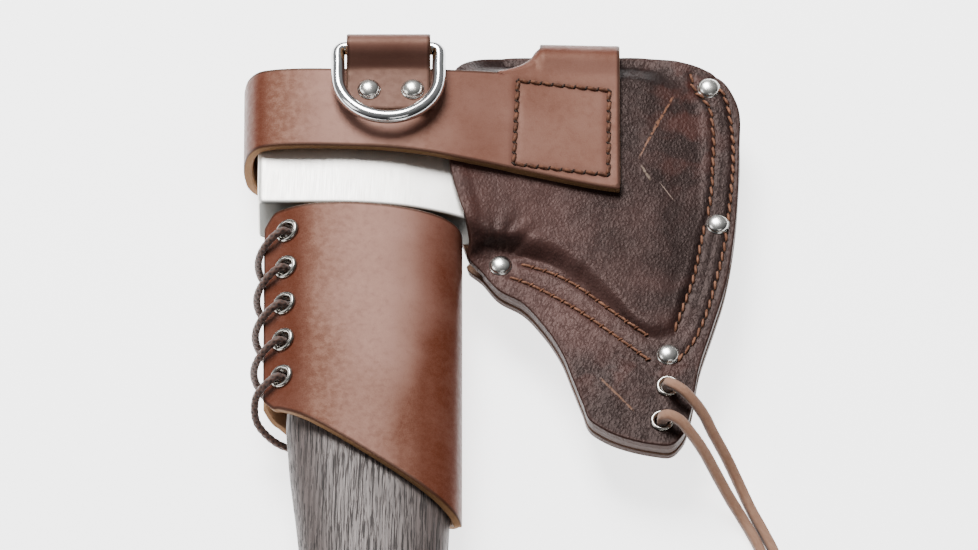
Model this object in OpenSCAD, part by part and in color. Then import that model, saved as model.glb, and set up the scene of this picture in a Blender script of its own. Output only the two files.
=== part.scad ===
// Carving hatchet lying on its side: forged head on a wooden handle, with a laced leather collar
// round the neck and a leather blade sheath that is held on by a strap round the poll.
// +X runs from the poll to the cutting edge, +Y from the butt to the top of the head, +Z up.

/* [Head] */
// Length of the head from poll to cutting edge
head_len = 156; // [150:1:158]
// Thickness of the poll
poll_t = 24; // [22:0.5:25]
// Height of the poll
poll_h = 48; // [44:1:50]
// Radius of the curved cutting edge
edge_r = 128; // [110:1:160]

/* [Handle] */
// Reach of the handle below the head
handle_reach = 334; // [320:2:360]
// Half thickness of the handle at the neck
neck_half_t = 12; // [11:0.2:12.2]
// How far the handle's end stands above the head
tenon_proud = 2; // [0.5:0.5:3]

/* [Collar] */
// Thickness of the collar's leather
collar_t = 3; // [2:0.2:3.4]
// Distance between eyelets along the flap
eyelet_pitch = 14.8; // [14:0.2:15]
// Number of eyelets on each flap
eyelet_count = 5; // [3:1:5]
// Diameter of the collar's lace
cord_d = 3; // [2:0.2:3.2]

/* [Sheath] */
// Thickness of each sheath panel
panel_t = 3; // [2.4:0.2:3]
// Thickness of the welt between the panels
welt_t = 3; // [2.6:0.2:3.4]
// Room between the head's cheek and the panel
cheek_gap = 1; // [0.8:0.1:1.2]

/* [Strap] */
// Thickness of the strap's leather
strap_t = 3; // [2.4:0.2:3]
// Top edge of the strap above the head's lower edge
strap_top = 52; // [50:1:53]
// Bottom edge of the strap above the head's lower edge
strap_bottom = 20; // [18:1:22]

/* [Hardware] */
// Diameter of the ring's wire
ring_wire = 4.8; // [4:0.2:5]
// Inside width of the ring
ring_inside = 30.6; // [30.2:0.2:32]
// Diameter of the rivet caps
cap_d = 8.2; // [7:0.2:8.6]
// Outside diameter of the eyelets
eyelet_d = 9; // [8:0.2:9.4]
// Diameter of the snap fastener's cap
snap_d = 14; // [12:0.5:15]

/* [Lace] */
// Diameter of the thong in the sheath's tail
thong_d = 4; // [3:0.2:4]
// Outer radius of the coiled thong, to the middle of the outer turn
coil_r = 27; // [26:0.5:28]
// Turns in the coil
coil_turns = 1.4; // [1.2:0.1:1.5]

/* [Hidden] */

// Colours
steel = [0.90, 0.89, 0.87];
bright = [0.82, 0.83, 0.85];
wood = [0.40, 0.36, 0.34];
pale_wood = [0.72, 0.60, 0.44];
strap_brown = [0.52, 0.31, 0.22];
sheath_brown = [0.25, 0.16, 0.14];
welt_brown = [0.36, 0.22, 0.16];
thread_brown = [0.55, 0.36, 0.24];
cord_brown = [0.27, 0.16, 0.12];
thong_brown = [0.58, 0.40, 0.30];

// Head: half thickness against the distance from the poll
half = poll_t / 2;
cheek = [
    [0, half - 0.9], [0.9, half], [32, half], [50, half - 0.6], [66, half - 2.1], [80, half - 4.2],
    [100, half - 6.6], [120, half - 8.2], [140, half - 9.6], [head_len - 6, 1.1], [head_len + 2, 0.1]
];
toe = [head_len - 6.5, 54.5];
heel = [head_len - 16, -46];
// Lower edge of the head from the poll to the heel
beard = [[30, 0], [46, -0.6], [60, -2.2], [72, -4.6], [86, -9], [100, -15], [115, -23], [130, -34.5]];
chord = toe - heel;
edge_sag = edge_r - sqrt(edge_r * edge_r - chord * chord / 4);
edge_middle = (toe + heel) / 2 + [chord.y, -chord.x] / norm(chord) * edge_sag;
edge_centre = edge_middle - [chord.y, -chord.x] / norm(chord) * edge_r;
heel_angle = atan2(heel.y - edge_centre.y, heel.x - edge_centre.x);
toe_angle = atan2(toe.y - edge_centre.y, toe.x - edge_centre.x);
eye_x = [14, 62];
eye_half = 8.4;
eye_power = 3;

// Handle: stations of [y, back x, front x, half thickness]
shoulder = -4.5;
butt = -handle_reach;
stations = [
    [shoulder, 14.6, 66.6, neck_half_t - 0.5], [-40, 13.8, 67.4, neck_half_t - 0.2],
    [-72, 12.2, 67.4, neck_half_t], [-81, 10.6, 67.4, neck_half_t], [-98, 11.2, 67.4, neck_half_t],
    [-125, 14, 67.4, neck_half_t + 0.3], [-152, 17, 65.4, neck_half_t + 0.8],
    [-182, 19.4, 60, neck_half_t + 1.4], [-212, 19.8, 55.4, neck_half_t + 1.9],
    [-246, 18, 52, neck_half_t + 2.2], [-276, 14.6, 50.4, neck_half_t + 2.2],
    [butt + 34, 11.4, 51, neck_half_t + 2], [butt + 16, 8.4, 53.6, neck_half_t + 1.6],
    [butt + 6, 8, 55, neck_half_t + 0.8], [butt + 1.6, 10, 53.6, neck_half_t - 1.6],
    [butt, 14, 50, neck_half_t - 5]
];
handle_power = 2.5;
handle_sides = 24;
wedge_half_t = 1.6;
wedge_depth = 34;

// Collar: stations of [x, z] of the leather's middle, from the front flap's edge to the front
collar_front = [
    [3.4, 5.2], [4.6, 6], [7, 7.4], [10.4, 9.5], [14, 11.4], [19, 12.9], [26, 13.7], [38, 14],
    [50, 13.6], [58, 12.4], [64.4, 10], [68.6, 6]
];
collar_right = [70.2, 0];
flap_corner = 5;
flap_bottom = -83;
collar_tip = -126;
eyelet_top = -11.2;
eyelet_tilt = 32;
eyelet_hole = 5.4;
eyelet_barrel = 6.2;

// Sheath: corners of the panel as [x, y, seam margin, half gap at the edge], anticlockwise from the
// mouth; a negative gap means that the edge follows the cheek there
middle = [118, 12];
mouth = -1;
seam = welt_t / 2;
sheath_edge = [
    [67.5, 40, 2, mouth], [67.3, 15, 2, mouth], [70.5, 1, 2, mouth], [73.2, -8, 2, mouth],
    [74.4, -14, 4, 6.5], [73.6, -18, 8, 3.4],
    [78.5, -24, 12.5, seam], [84.5, -31.5, 15.8, seam], [92.5, -36.5, 17.5, seam],
    [99.6, -45, 22, seam], [106.6, -57, 29.5, seam], [110.4, -67.5, 38.5, seam], [114, -78, 47, seam],
    [117, -85.5, 52.5, seam], [121, -88.5, 54, seam], [138.5, -94.5, 52, seam],
    [143.5, -95, 50, seam], [147.5, -91.5, 44, seam], [150.5, -83, 34, seam],
    [154.5, -61, 17, seam], [159, -46, 15, seam], [163, -32, 13, seam], [166.9, -9, 11, seam],
    [168.5, 10, 10.6, seam], [169, 26, 10.6, seam], [168, 46.5, 10.6, seam], [164.4, 54, 11, seam],
    [156.5, 60.4, 6.6, seam], [149, 63.4, 6, seam],
    [138, 65.6, 4, 0], [120, 66.1, 4, 0], [97, 66.1, 4, 0], [85, 65.6, 4, 0], [75.5, 62.8, 4, 3.2],
    [69.5, 56, 3, 9.2]
];
welt_first = 6;
welt_last = 28;
top_rise = 7;
side_rise = 4.5;
inner_rings = [0.3, 0.6, 0.85];
sheath_rivets_at = [[158.4, 52.2], [161.2, -4.3], [143.5, -58], [85, -21.4]];
tail_eyelets_at = [[143.3, -70.9], [141.2, -85]];
tail_hole = 5;
tail_barrel = 6;
tail_eyelet_d = 8.4;
post_d = 3.2;

// Seams: the middle of each stitch row, and the stitches along it
edge_inner_row = [
    [152.2, 58.6], [153, 51.8], [157.6, 46.4], [159.8, 34], [159.6, 20], [158.4, 4], [156, -8],
    [152.4, -26.8], [148.9, -38.3], [145.6, -48.5]
];
edge_outer_row = [
    [160.2, 56.2], [164.4, 47.4], [166, 38], [166.8, 26], [165.8, 8], [163.8, -11],
    [160.3, -28], [157, -41], [152.8, -51.8], [146.6, -60.8]
];
beard_inner_row = [
    [136, -50], [128.6, -44], [121, -37.6], [113.9, -31.4], [106.4, -26.2], [99.4, -23], [92, -20.6]
];
beard_outer_row = [
    [136.5, -60], [131.8, -56], [124.4, -49.6], [117.4, -43.8], [110.4, -38.4], [103.1, -33.6],
    [94.7, -28.8], [88, -26]
];
stitch_pitch = 4.6;
stitch = [3.2, 1, 0.6];

// Strap: stations of [x, z, bottom y, top y] of the leather's middle, from the sewn end to the poll
strap_gap = 3.3;
strap_z = half + strap_gap + strap_t / 2;
bend_x = -1 - strap_t / 2;
block_z = [13.8, 10.6];
strap_front = [
    [126.4, block_z[1], 6.4, 60], [123, block_z[1] + 0.3, 6.8, 60], [98.5, 12.7, 11.2, 60],
    [96, 12.9, 11.6, 57.6], [92, 13.2, 12.4, 54.6], [85, block_z[0], 13.6, strap_top + 0.8],
    [68.5, 16.2, 16, strap_top + 0.4], [61, strap_z, 17.2, strap_top], [44, strap_z, 19.4, strap_top],
    [32, strap_z, strap_bottom, strap_top], [11, strap_z, strap_bottom, strap_top],
    [6, strap_z - 0.5, strap_bottom, strap_top], [0.6, strap_z - 2.2, strap_bottom, strap_top],
    [-2.1, strap_z - 6, strap_bottom, strap_top]
];
hinge_x = 8;
hinge_z = -strap_z;
bend_back = [
    [-2.1, 6 - strap_z], [0.6, 2.2 - strap_z], [hinge_x - 3.8, 0.4 - strap_z],
    [hinge_x - 2.6, -strap_z]
];
flap_end = 130;
flap_y = [strap_bottom + 1, strap_top - 1];
snap_at = [113, 35];
snap_gap = 2.2;
// The arm that folds over the sheath's top: [y, z] of the leather's middle at its left side
fold_path = [[60, 12.6], [61.6, 12.6], [65.2, 9.8], [67.8, 6], [69.3, 2.8], [69.6, 0]];
fold_back = [[67.8, -5.6], [64.8, -9.8], [61, -11.8], [54, -12], [22, -12.2]];
fold_x = [98.8, 126.4];
fold_taper = 0.86;
box_corners = [[91.2, 49.7], [123.2, 47.2], [122.8, 12], [89.6, 15]];

// Ring and its keeper
keeper_x = [31, 60.4];
keeper_t = 2.5;
keeper_mid = (keeper_x[0] + keeper_x[1]) / 2;
keeper_end = 34;
bar_y = 58.5;
wire_r = ring_wire / 2;
running_gap = 0.08;
strap_face = strap_z + strap_t / 2;
bar_z = strap_face + wire_r + 0.2;
ring_r = ring_inside / 2 + wire_r;
ring_leg = 13.3;
ring_lift = 6.5;
keeper_rivets_at = [[38.9, 41.3], [54.2, 41.3]];
cap_h = 2;

// The surface that the hatchet lies on, under the snap's cap
snap_cap_h = 1.8;
snap_leather_z = hinge_z;
floor_z = snap_leather_z - strap_t / 2 - snap_cap_h;

// Route of the thong, from each eyelet to the coil
thong_r = thong_d / 2;
tie_t = 0.6;
lying = floor_z + thong_r + tie_t;
upper_route = [
    [143.3, -70.9, 4], [143.5, -71.4, 7.4], [145.2, -73.6, 10], [148.4, -76.2, 10.6],
    [151.6, -78.8, 8.8], [155.2, -81.9, 4.8], [159.2, -87.2, -1.2], [163.4, -92.3, -7.4],
    [167.8, -99.6, -13.2], [172.4, -109, lying + 1], [177.2, -118.6, lying], [181, -128, lying],
    [182.6, -138, lying], [181.6, -149, lying], [179, -160, lying], [177, -172, lying]
];
lower_route = [
    [141.2, -85, 4], [141.6, -85.2, 7.4], [143.8, -86, 9.8], [147.2, -87.8, 9.6],
    [150.6, -90.6, 6.8], [156, -95.4, 0], [160.4, -100.8, -6.6], [164.8, -106.4, -12.4],
    [169.6, -113, lying + 1], [173.8, -121, lying], [177, -129.6, lying], [178.4, -138.4, lying],
    [177.4, -148.6, lying], [174.8, -160, lying], [172.8, -172, lying]
];
bridge_depth = -7.4;
bridge_route = [
    [143.3, -70.9, 4], [143.3, -70.9, -1], [143.3, -70.9, -4.6], [143.2, -72.2, bridge_depth + 0.6],
    [142.8, -74.6, bridge_depth], [142.2, -78, bridge_depth], [141.7, -81.4, bridge_depth],
    [141.3, -83.8, bridge_depth + 0.6], [141.2, -85, -4.6], [141.2, -85, -1], [141.2, -85, 4]
];
coil_at = [150, -172];
coil_step = 2 * (thong_d + 0.2);
coil_inner = coil_r - coil_turns * coil_step - thong_d / 2 - 4;
coil_outer = coil_r + thong_r + 0.2;
knot_r = 4.2;
knots_at = [[-11.5, 7.5], [0, -10.5]];

// The origin is under the middle of the hatchet without its free thong
function highest(list, i) = max([for (p = list) p[i]]);
x_low = bend_x - strap_t / 2;
x_high = highest(sheath_edge, 0);
y_low = butt;
y_high = fold_path[5].x + strap_t / 2;
origin = [(x_low + x_high) / 2, (y_low + y_high) / 2, floor_z];

// ---- Helpers ----

module in_place() {
    translate(-origin) children();
}

function unit(v) = v / norm(v);
function mix(a, b, f) = a * (1 - f) + b * f;
function reversed(list) = [for (i = [len(list) - 1:-1:0]) list[i]];
function mirrored(path) = [for (p = reversed(path)) [p.x, -p.y]];

// Superellipse in the plane, as a list of points
function oval(x0, x1, half_t, power, sides) = [
    for (i = [0:sides - 1])
        let (a = 360 * i / sides, c = cos(a), s = sin(a))
            [(x0 + x1) / 2 + (x1 - x0) / 2 * sign(c) * pow(abs(c), 2 / power),
             half_t * sign(s) * pow(abs(s), 2 / power)]
];

// Solid through rings of equally many points, closed by a flat face at both ends
module skin(rings) {
    n = len(rings[0]);
    last = len(rings) - 1;
    points = [for (r = rings) each r];
    sides = [
        for (k = [0:last - 1], i = [0:n - 1])
            let (a = k * n + i, b = k * n + (i + 1) % n)
                each [[a, a + n, b], [b, a + n, b + n]]
    ];
    ends = [[for (i = [0:n - 1]) i], [for (i = [n - 1:-1:0]) last * n + i]];
    polyhedron(points = points, faces = concat(sides, ends));
}

// Band of leather of thickness t between pairs of points, one pair a station
module band(pairs, t) {
    last = len(pairs) - 1;
    function middle_of(i) = (pairs[i][0] + pairs[i][1]) / 2;
    skin([
        for (i = [0:last])
            let (along = middle_of(min(i + 1, last)) - middle_of(max(i - 1, 0)),
                 out = unit(cross(along, pairs[i][1] - pairs[i][0])) * t / 2)
                [pairs[i][0] - out, pairs[i][1] - out, pairs[i][1] + out, pairs[i][0] + out]
    ]);
}

// Round tube along a route, with frames carried from ring to ring
function heading(route, i) = unit(route[min(i + 1, len(route) - 1)] - route[max(i - 1, 0)]);
function carried(route, i, side) =
    let (t = heading(route, i), flat = side - t * (side * t), n = unit(flat))
        i == len(route) - 1 ? [n] : concat([n], carried(route, i + 1, n));

module tube(route, r, sides, start_side) {
    normals = carried(route, 0, start_side);
    skin([
        for (i = [0:len(route) - 1])
            let (t = heading(route, i), n = normals[i], b = cross(t, n))
                [for (j = [0:sides - 1])
                    let (a = 360 * j / sides) route[i] + r * (cos(a) * n + sin(a) * b)]
    ]);
}

// Rivet cap: a low dome on the plane z = 0
module dome(d, h) {
    big = (d * d / 4 + h * h) / (2 * h);
    intersection() {
        translate([0, 0, h - big]) sphere(r = big, $fn = 96);
        cylinder(d = d, h = h, $fn = 48);
    }
}

// Eyelet round the z axis: a barrel through the leather and a rolled flange on each side
module eyelet(d, barrel, hole, depth) {
    flange_h = 0.7;
    difference() {
        union() {
            cylinder(d = barrel, h = depth + 2 * flange_h, center = true, $fn = 48);
            for (side = [-1, 1]) {
                translate([0, 0, side * (depth + flange_h) / 2])
                    cylinder(d = d, h = flange_h, center = true, $fn = 48);
            }
        }
        cylinder(d = hole, h = depth + 4, center = true, $fn = 48);
    }
}

// Places along a row of points: [place, angle] of each stitch
function run_length(row) = [
    for (i = 0, s = 0; i < len(row); s = i + 1 < len(row) ? s + norm(row[i + 1] - row[i]) : s, i = i + 1) s
];
function place_on(row, runs, s) =
    let (k = min(len([for (r = runs) if (r <= s) r]) - 1, len(row) - 2),
         step = row[k + 1] - row[k])
            [row[k] + step * (s - runs[k]) / norm(step), atan2(step.y, step.x)];

module stitches(row, z) {
    runs = run_length(row);
    total = runs[len(runs) - 1];
    count = floor(total / stitch_pitch);
    for (i = [0:count - 1]) {
        at = place_on(row, runs, (i + 0.5) * total / count);
        room = min([for (p = sheath_rivets_at) norm(p - at[0])]) - cap_d / 2;
        if (room > stitch.x / 2 + 0.2) {
            translate([at[0].x, at[0].y, z]) rotate(at[1]) cube(stitch, center = true);
        }
    }
}

// ---- Head and handle ----

module head_outline() {
    edge_points = [
        for (i = [0:12])
            let (a = mix(heel_angle, toe_angle, i / 12)) edge_centre + edge_r * [cos(a), sin(a)]
    ];
    polygon(concat([[0, 0]], beard, edge_points, [[120, poll_h + 2], [66, poll_h + 0.4], [0, poll_h]]));
}

module eye(extra) {
    translate([0, poll_h + 20, 0]) rotate([90, 0, 0])
        linear_extrude(poll_h + 20 - shoulder + extra)
            polygon(oval(eye_x[0], eye_x[1], eye_half, eye_power, 32));
}

module axe_head() {
    cheek_profile = concat(cheek, [for (p = reversed(cheek)) [p.x, -p.y]]);
    color(steel) in_place() difference() {
        intersection() {
            linear_extrude(poll_t + 2, center = true) head_outline();
            translate([0, 80, 0]) rotate([90, 0, 0]) linear_extrude(160) polygon(cheek_profile);
        }
        eye(20);
    }
}

function handle_ring(s) = [
    for (p = oval(s[1], s[2], s[3], handle_power, handle_sides)) [p.x, s[0], p.y]
];

module wedge_shape(gap) {
    low = poll_h + tenon_proud - wedge_depth - gap;
    high = poll_h + tenon_proud + (gap > 0 ? 1 : 0);
    translate([eye_x[0] + 3 - gap, 0, 0]) rotate([90, 0, 90])
        linear_extrude(eye_x[1] - eye_x[0] - 6 + 2 * gap)
            polygon([[low, -0.3 - gap], [high, -wedge_half_t - gap], [high, wedge_half_t + gap],
                     [low, 0.3 + gap]]);
}

wedge_ring_d = 12;
wedge_ring_x = 27;
wedge_ring_h = 14;

module ring_wedge_space() {
    translate([wedge_ring_x, poll_h + tenon_proud + 1, 0]) rotate([90, 0, 0])
        cylinder(d = wedge_ring_d, h = wedge_ring_h + 1, $fn = 48);
}

module handle() {
    color(wood) in_place() difference() {
        union() {
            skin([for (s = stations) handle_ring(s)]);
            intersection() {
                eye(6);
                translate([0, -12, -20]) cube([80, poll_h + tenon_proud + 12, 40]);
            }
        }
        wedge_shape(0.02);
        ring_wedge_space();
    }
}

module eye_wedge() {
    color(pale_wood) in_place() difference() {
        wedge_shape(0);
        ring_wedge_space();
    }
}

module wedge_ring() {
    color(bright) in_place() translate([wedge_ring_x, poll_h + tenon_proud, 0]) rotate([90, 0, 0])
        cylinder(d = wedge_ring_d, h = wedge_ring_h, $fn = 48);
}

// ---- Collar and its lacing ----

function collar_bottom(x) =
    x < 8 ? mix(flap_bottom + flap_corner, flap_bottom, sin(90 * (x - 3.4) / 4.6))
          : mix(flap_bottom, collar_tip, pow((x - 8) / 61.6, 1.06));
function collar_top(x) =
    x < 8 ? mix(-flap_corner - 2, -1.6, sin(90 * (x - 3.4) / 4.6))
          : -1.6 - 5.2 * pow(max(x - 30, 0) / 39.6, 1.6);
collar_path = concat(collar_front, [collar_right], mirrored(collar_front));
function eyelet_spot(i) =
    let (x = 11.2 - 0.4 * i)
        [x, eyelet_top - eyelet_pitch * i, lookup(x, collar_front)];

module at_collar_eyelets(side) {
    for (i = [0:eyelet_count - 1]) {
        at = eyelet_spot(i);
        translate([at.x, at.y, side * at.z]) rotate([0, -side * eyelet_tilt, 0]) children();
    }
}

module collar() {
    color(strap_brown) in_place() difference() {
        band([for (p = collar_path) [[p.x, collar_bottom(p.x), p.y], [p.x, collar_top(p.x), p.y]]], collar_t);
        for (side = [-1, 1]) {
            at_collar_eyelets(side) cylinder(d = eyelet_barrel, h = 2 * collar_t, center = true, $fn = 48);
        }
    }
}

module collar_eyelets(side) {
    color(bright) in_place() at_collar_eyelets(side) eyelet(eyelet_d, eyelet_barrel, eyelet_hole, collar_t + 0.1);
}

// One turn of the lacing from a front eyelet round the flap edges to the next back eyelet,
// as [x from the eyelet, share of the pitch, z at the first eyelet]
lace_out = [
    [0, 0, 0], [0.9, 0, 6.2], [0.8, 0, 8.2], [-0.8, 0.02, 11.4], [-2.4, 0.06, 13.3], [-4.6, 0.16, 13.2],
    [-7, 0.26, 11.8], [-9.6, 0.38, 9.2], [-11.2, 0.46, 4.4]
];
lace_turn = concat(lace_out, [[-11.6, 0.5, 0]], [
    for (k = [len(lace_out) - 1:-1:1]) let (p = lace_out[k]) [p.x, 1 - p.y, -p.z]
]);
lace_end = [[-10.8, 0.72, 3.6], [-9.6, 0.94, 0.6], [-7, 1.1, 0]];
lace_route = concat(
    [for (i = [0:eyelet_count - 2], p = lace_turn) lace_spot(i, p)],
    [for (p = concat([for (k = [0:7]) lace_out[k]], lace_end)) lace_spot(eyelet_count - 1, p)]
);
function lace_spot(i, p) =
    let (at = eyelet_spot(i)) [at.x + p.x, at.y - p.y * eyelet_pitch, p.z * at.z / eyelet_spot(0).z];

module collar_lace() {
    color(cord_brown) in_place() tube(lace_route, cord_d / 2, 8, [1, 0, 0]);
}

// ---- Sheath ----

function cheek_room(x) = max(lookup(x, cheek) + cheek_gap, seam);
function edge_spot(i) = [sheath_edge[i].x, sheath_edge[i].y];
function inward(i) = unit(middle - edge_spot(i));
function rise_of(i) = edge_spot(i).y > 50 ? top_rise : side_rise;
function step_in(i, k) =
    let (margin = sheath_edge[i][2], rise = rise_of(i), far = norm(middle - edge_spot(i)))
        k == 0 ? 0 : k == 1 ? margin : k == 2 ? margin + rise / 2 : k == 3 ? margin + rise
               : mix(margin + rise, far, inner_rings[k - 4]);
function spot(i, k) = edge_spot(i) + inward(i) * step_in(i, k);
function inner_z(i, k) =
    let (p = spot(i, k), room = cheek_room(p.x), gap = sheath_edge[i][3])
        gap < 0 || k > 2 ? room : k < 2 ? gap : mix(gap, room, 0.55);

module panel_blank() {
    n = len(sheath_edge);
    rings = 4 + len(inner_rings);
    function shell(lift) = [for (k = [0:rings - 1], i = [0:n - 1])
        [spot(i, k).x, spot(i, k).y, inner_z(i, k) + lift]];
    hub = 2 * rings * n;
    crown = cheek_room(middle.x);
    points = concat(shell(0), shell(panel_t), [[middle.x, middle.y, crown], [middle.x, middle.y, crown + panel_t]]);
    function quad(a, b, c, d) = [[a, b, c], [a, c, d]];
    under = [for (k = [0:rings - 2], i = [0:n - 1])
        let (j = (i + 1) % n) each quad(k * n + i, k * n + j, (k + 1) * n + j, (k + 1) * n + i)];
    over = [for (f = under) [f[2] + rings * n, f[1] + rings * n, f[0] + rings * n]];
    wall = [for (i = [0:n - 1])
        let (j = (i + 1) % n) each quad(i, i + rings * n, j + rings * n, j)];
    inner = (rings - 1) * n;
    fans = [for (i = [0:n - 1])
        let (j = (i + 1) % n) each [[inner + i, inner + j, hub],
                                    [inner + j + rings * n, inner + i + rings * n, hub + 1]]];
    polyhedron(points = points, faces = concat(under, over, wall, fans));
}

module through_holes(spots, d) {
    for (p = spots) {
        translate([p.x, p.y, 0]) cylinder(d = d, h = 60, center = true, $fn = 48);
    }
}

module sheath_panel(side) {
    difference() {
        mirror([0, 0, side < 0 ? 1 : 0]) panel_blank();
        through_holes(sheath_rivets_at, post_d);
        through_holes(tail_eyelets_at, tail_barrel);
    }
}

module sheath_front_panel() {
    color(sheath_brown) in_place() sheath_panel(1);
}

module sheath_back_panel() {
    color(sheath_brown) in_place() sheath_panel(-1);
}

module sheath_welt() {
    outer = [for (i = [welt_first:welt_last]) edge_spot(i)];
    inner = [for (i = [welt_last:-1:welt_first]) spot(i, 1)];
    color(welt_brown) in_place() difference() {
        linear_extrude(welt_t, center = true) polygon(concat(outer, inner));
        through_holes(sheath_rivets_at, post_d);
        through_holes(tail_eyelets_at, tail_barrel);
    }
}

seam_face = seam + panel_t;

module edge_seam_thread() {
    color(thread_brown) in_place() for (side = [-1, 1], row = [edge_inner_row, edge_outer_row]) {
        stitches(row, side * (seam_face + stitch.z / 2));
    }
}

module beard_seam_thread() {
    color(thread_brown) in_place() for (side = [-1, 1], row = [beard_inner_row, beard_outer_row]) {
        stitches(row, side * (seam_face + stitch.z / 2));
    }
}

module sheath_rivets() {
    color(bright) in_place() for (p = sheath_rivets_at) {
        translate([p.x, p.y, 0]) {
            cylinder(d = post_d, h = 2 * seam_face, center = true, $fn = 48);
            for (side = [0, 1]) {
                mirror([0, 0, side]) translate([0, 0, seam_face]) dome(cap_d, cap_h);
            }
        }
    }
}

module tail_eyelets() {
    color(bright) in_place() for (p = tail_eyelets_at) {
        translate([p.x, p.y, 0]) eyelet(tail_eyelet_d, tail_barrel, tail_hole, 2 * seam_face);
    }
}

// ---- Strap, its ring and its snap ----

module poll_strap() {
    round_poll = concat(strap_front, [
        [bend_x, 4, strap_bottom, strap_top], [bend_x, -4, strap_bottom, strap_top]
    ], [for (p = bend_back) [p.x, p.y, strap_bottom, strap_top]]);
    color(strap_brown) in_place() difference() {
        band([for (s = round_poll) [[s[0], s[2], s[1]], [s[0], s[3], s[1]]]], strap_t);
        through_holes_front(keeper_rivets_at, post_d);
    }
}

module through_holes_front(spots, d) {
    for (p = spots) {
        translate([p.x, p.y, 10]) cylinder(d = d, h = 20, $fn = 48);
    }
}

module strap_fold() {
    color(strap_brown) in_place() difference() {
        band([for (p = concat(fold_path, fold_back))
            [[fold_x[0], p.x, p.y], [fold_x[1], p.x, p.y * fold_taper]]], strap_t);
        translate([snap_at.x, snap_at.y, -20]) cylinder(d = post_d, h = 12, $fn = 48);
    }
}

block_slope = atan((block_z[0] - block_z[1]) / (126.4 - 85));
function block_face(x) = mix(block_z[0], block_z[1], (x - 85) / (126.4 - 85)) + strap_t / 2;

module strap_box_thread() {
    corners = concat(box_corners, [box_corners[0]]);
    color(thread_brown) in_place() for (i = [0:3]) {
        from = corners[i];
        run = corners[i + 1] - from;
        count = round(norm(run) / 4.2);
        for (k = [0:count - 1]) {
            at = from + run * (k + 0.5) / count;
            translate([at.x, at.y, block_face(at.x) + stitch.z / 2 + 0.3])
                rotate([0, block_slope, 0]) rotate(atan2(run.y, run.x)) cube([3, 0.9, stitch.z], center = true);
        }
    }
}

fold_slope = atan(12.2 * (1 - fold_taper) / (fold_x[1] - fold_x[0]));
function fold_face(x) = 12.2 * mix(1, fold_taper, (x - fold_x[0]) / (fold_x[1] - fold_x[0])) + strap_t / 2;

module fold_seam_thread() {
    color(thread_brown) in_place() for (k = [0:4], y = [24.5, 46.5]) {
        x = fold_x[0] + 5 + k * 4.4;
        translate([x, y, -fold_face(x) - stitch.z / 2 - 0.3])
            rotate([0, -fold_slope, 0]) cube([3, 0.9, stitch.z], center = true);
    }
}

module keeper_profile() {
    front = strap_face + 0.1;
    back = strap_z - strap_t / 2 - 0.1;
    loop_r = wire_r + running_gap + keeper_t;
    loop = [for (a = [-90:9:117]) [bar_y + loop_r * cos(a), bar_z + loop_r * sin(a)]];
    difference() {
        polygon(concat(
            [[keeper_end, front], [strap_top + 0.3, front], [strap_top + 0.3, back], [keeper_end, back],
             [keeper_end, back - keeper_t], [strap_top + 1.6, back - keeper_t]],
            loop,
            [[strap_top - 1, front + keeper_t], [keeper_end, front + keeper_t]]
        ));
        translate([bar_y, bar_z]) circle(r = wire_r + running_gap, $fn = 64);
    }
}

module ring_keeper() {
    color(strap_brown) in_place() difference() {
        translate([keeper_x[0], 0, 0]) rotate([90, 0, 90])
            linear_extrude(keeper_x[1] - keeper_x[0]) keeper_profile();
        through_holes_front(keeper_rivets_at, post_d);
    }
}

module keeper_rivets() {
    low = strap_z - strap_t / 2 - 0.1 - keeper_t;
    high = strap_face + 0.1 + keeper_t;
    color(bright) in_place() for (p = keeper_rivets_at) {
        translate([p.x, p.y, low]) cylinder(d = post_d, h = high - low, $fn = 48);
        translate([p.x, p.y, low - 0.5]) cylinder(d = cap_d - 1, h = 0.5, $fn = 48);
        translate([p.x, p.y, high]) dome(cap_d, cap_h);
    }
}

module d_ring() {
    color(bright) in_place() translate([keeper_mid, bar_y, bar_z]) rotate([-ring_lift, 0, 0]) {
        rotate([0, 90, 0]) cylinder(r = wire_r, h = 2 * ring_r, center = true, $fn = 48);
        for (side = [-1, 1]) {
            translate([side * ring_r, 0, 0]) {
                sphere(r = wire_r, $fn = 48);
                rotate([90, 0, 0]) cylinder(r = wire_r, h = ring_leg, $fn = 48);
            }
        }
        translate([0, -ring_leg, 0]) rotate(180) rotate_extrude(angle = 180, $fn = 96)
            translate([ring_r, 0]) circle(r = wire_r, $fn = 48);
    }
}

flap_inner_z = hinge_z + strap_t / 2;
fold_outer_z = -fold_face(snap_at.x);

module snap_stud() {
    color(bright) in_place() translate([snap_at.x, snap_at.y, 0]) {
        translate([0, 0, fold_outer_z - 0.9]) cylinder(d = 8, h = 0.6, $fn = 48);
        translate([0, 0, flap_inner_z + 0.3]) cylinder(d = 5, h = fold_outer_z - 0.9 - flap_inner_z - 0.1, $fn = 48);
    }
}

module snap_post() {
    color(bright) in_place() translate([snap_at.x, snap_at.y, fold_outer_z - 0.3]) {
        cylinder(d = post_d, h = strap_t + 0.6, $fn = 48);
        translate([0, 0, strap_t + 0.6]) cylinder(d = 8, h = 0.5, $fn = 48);
    }
}

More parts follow.
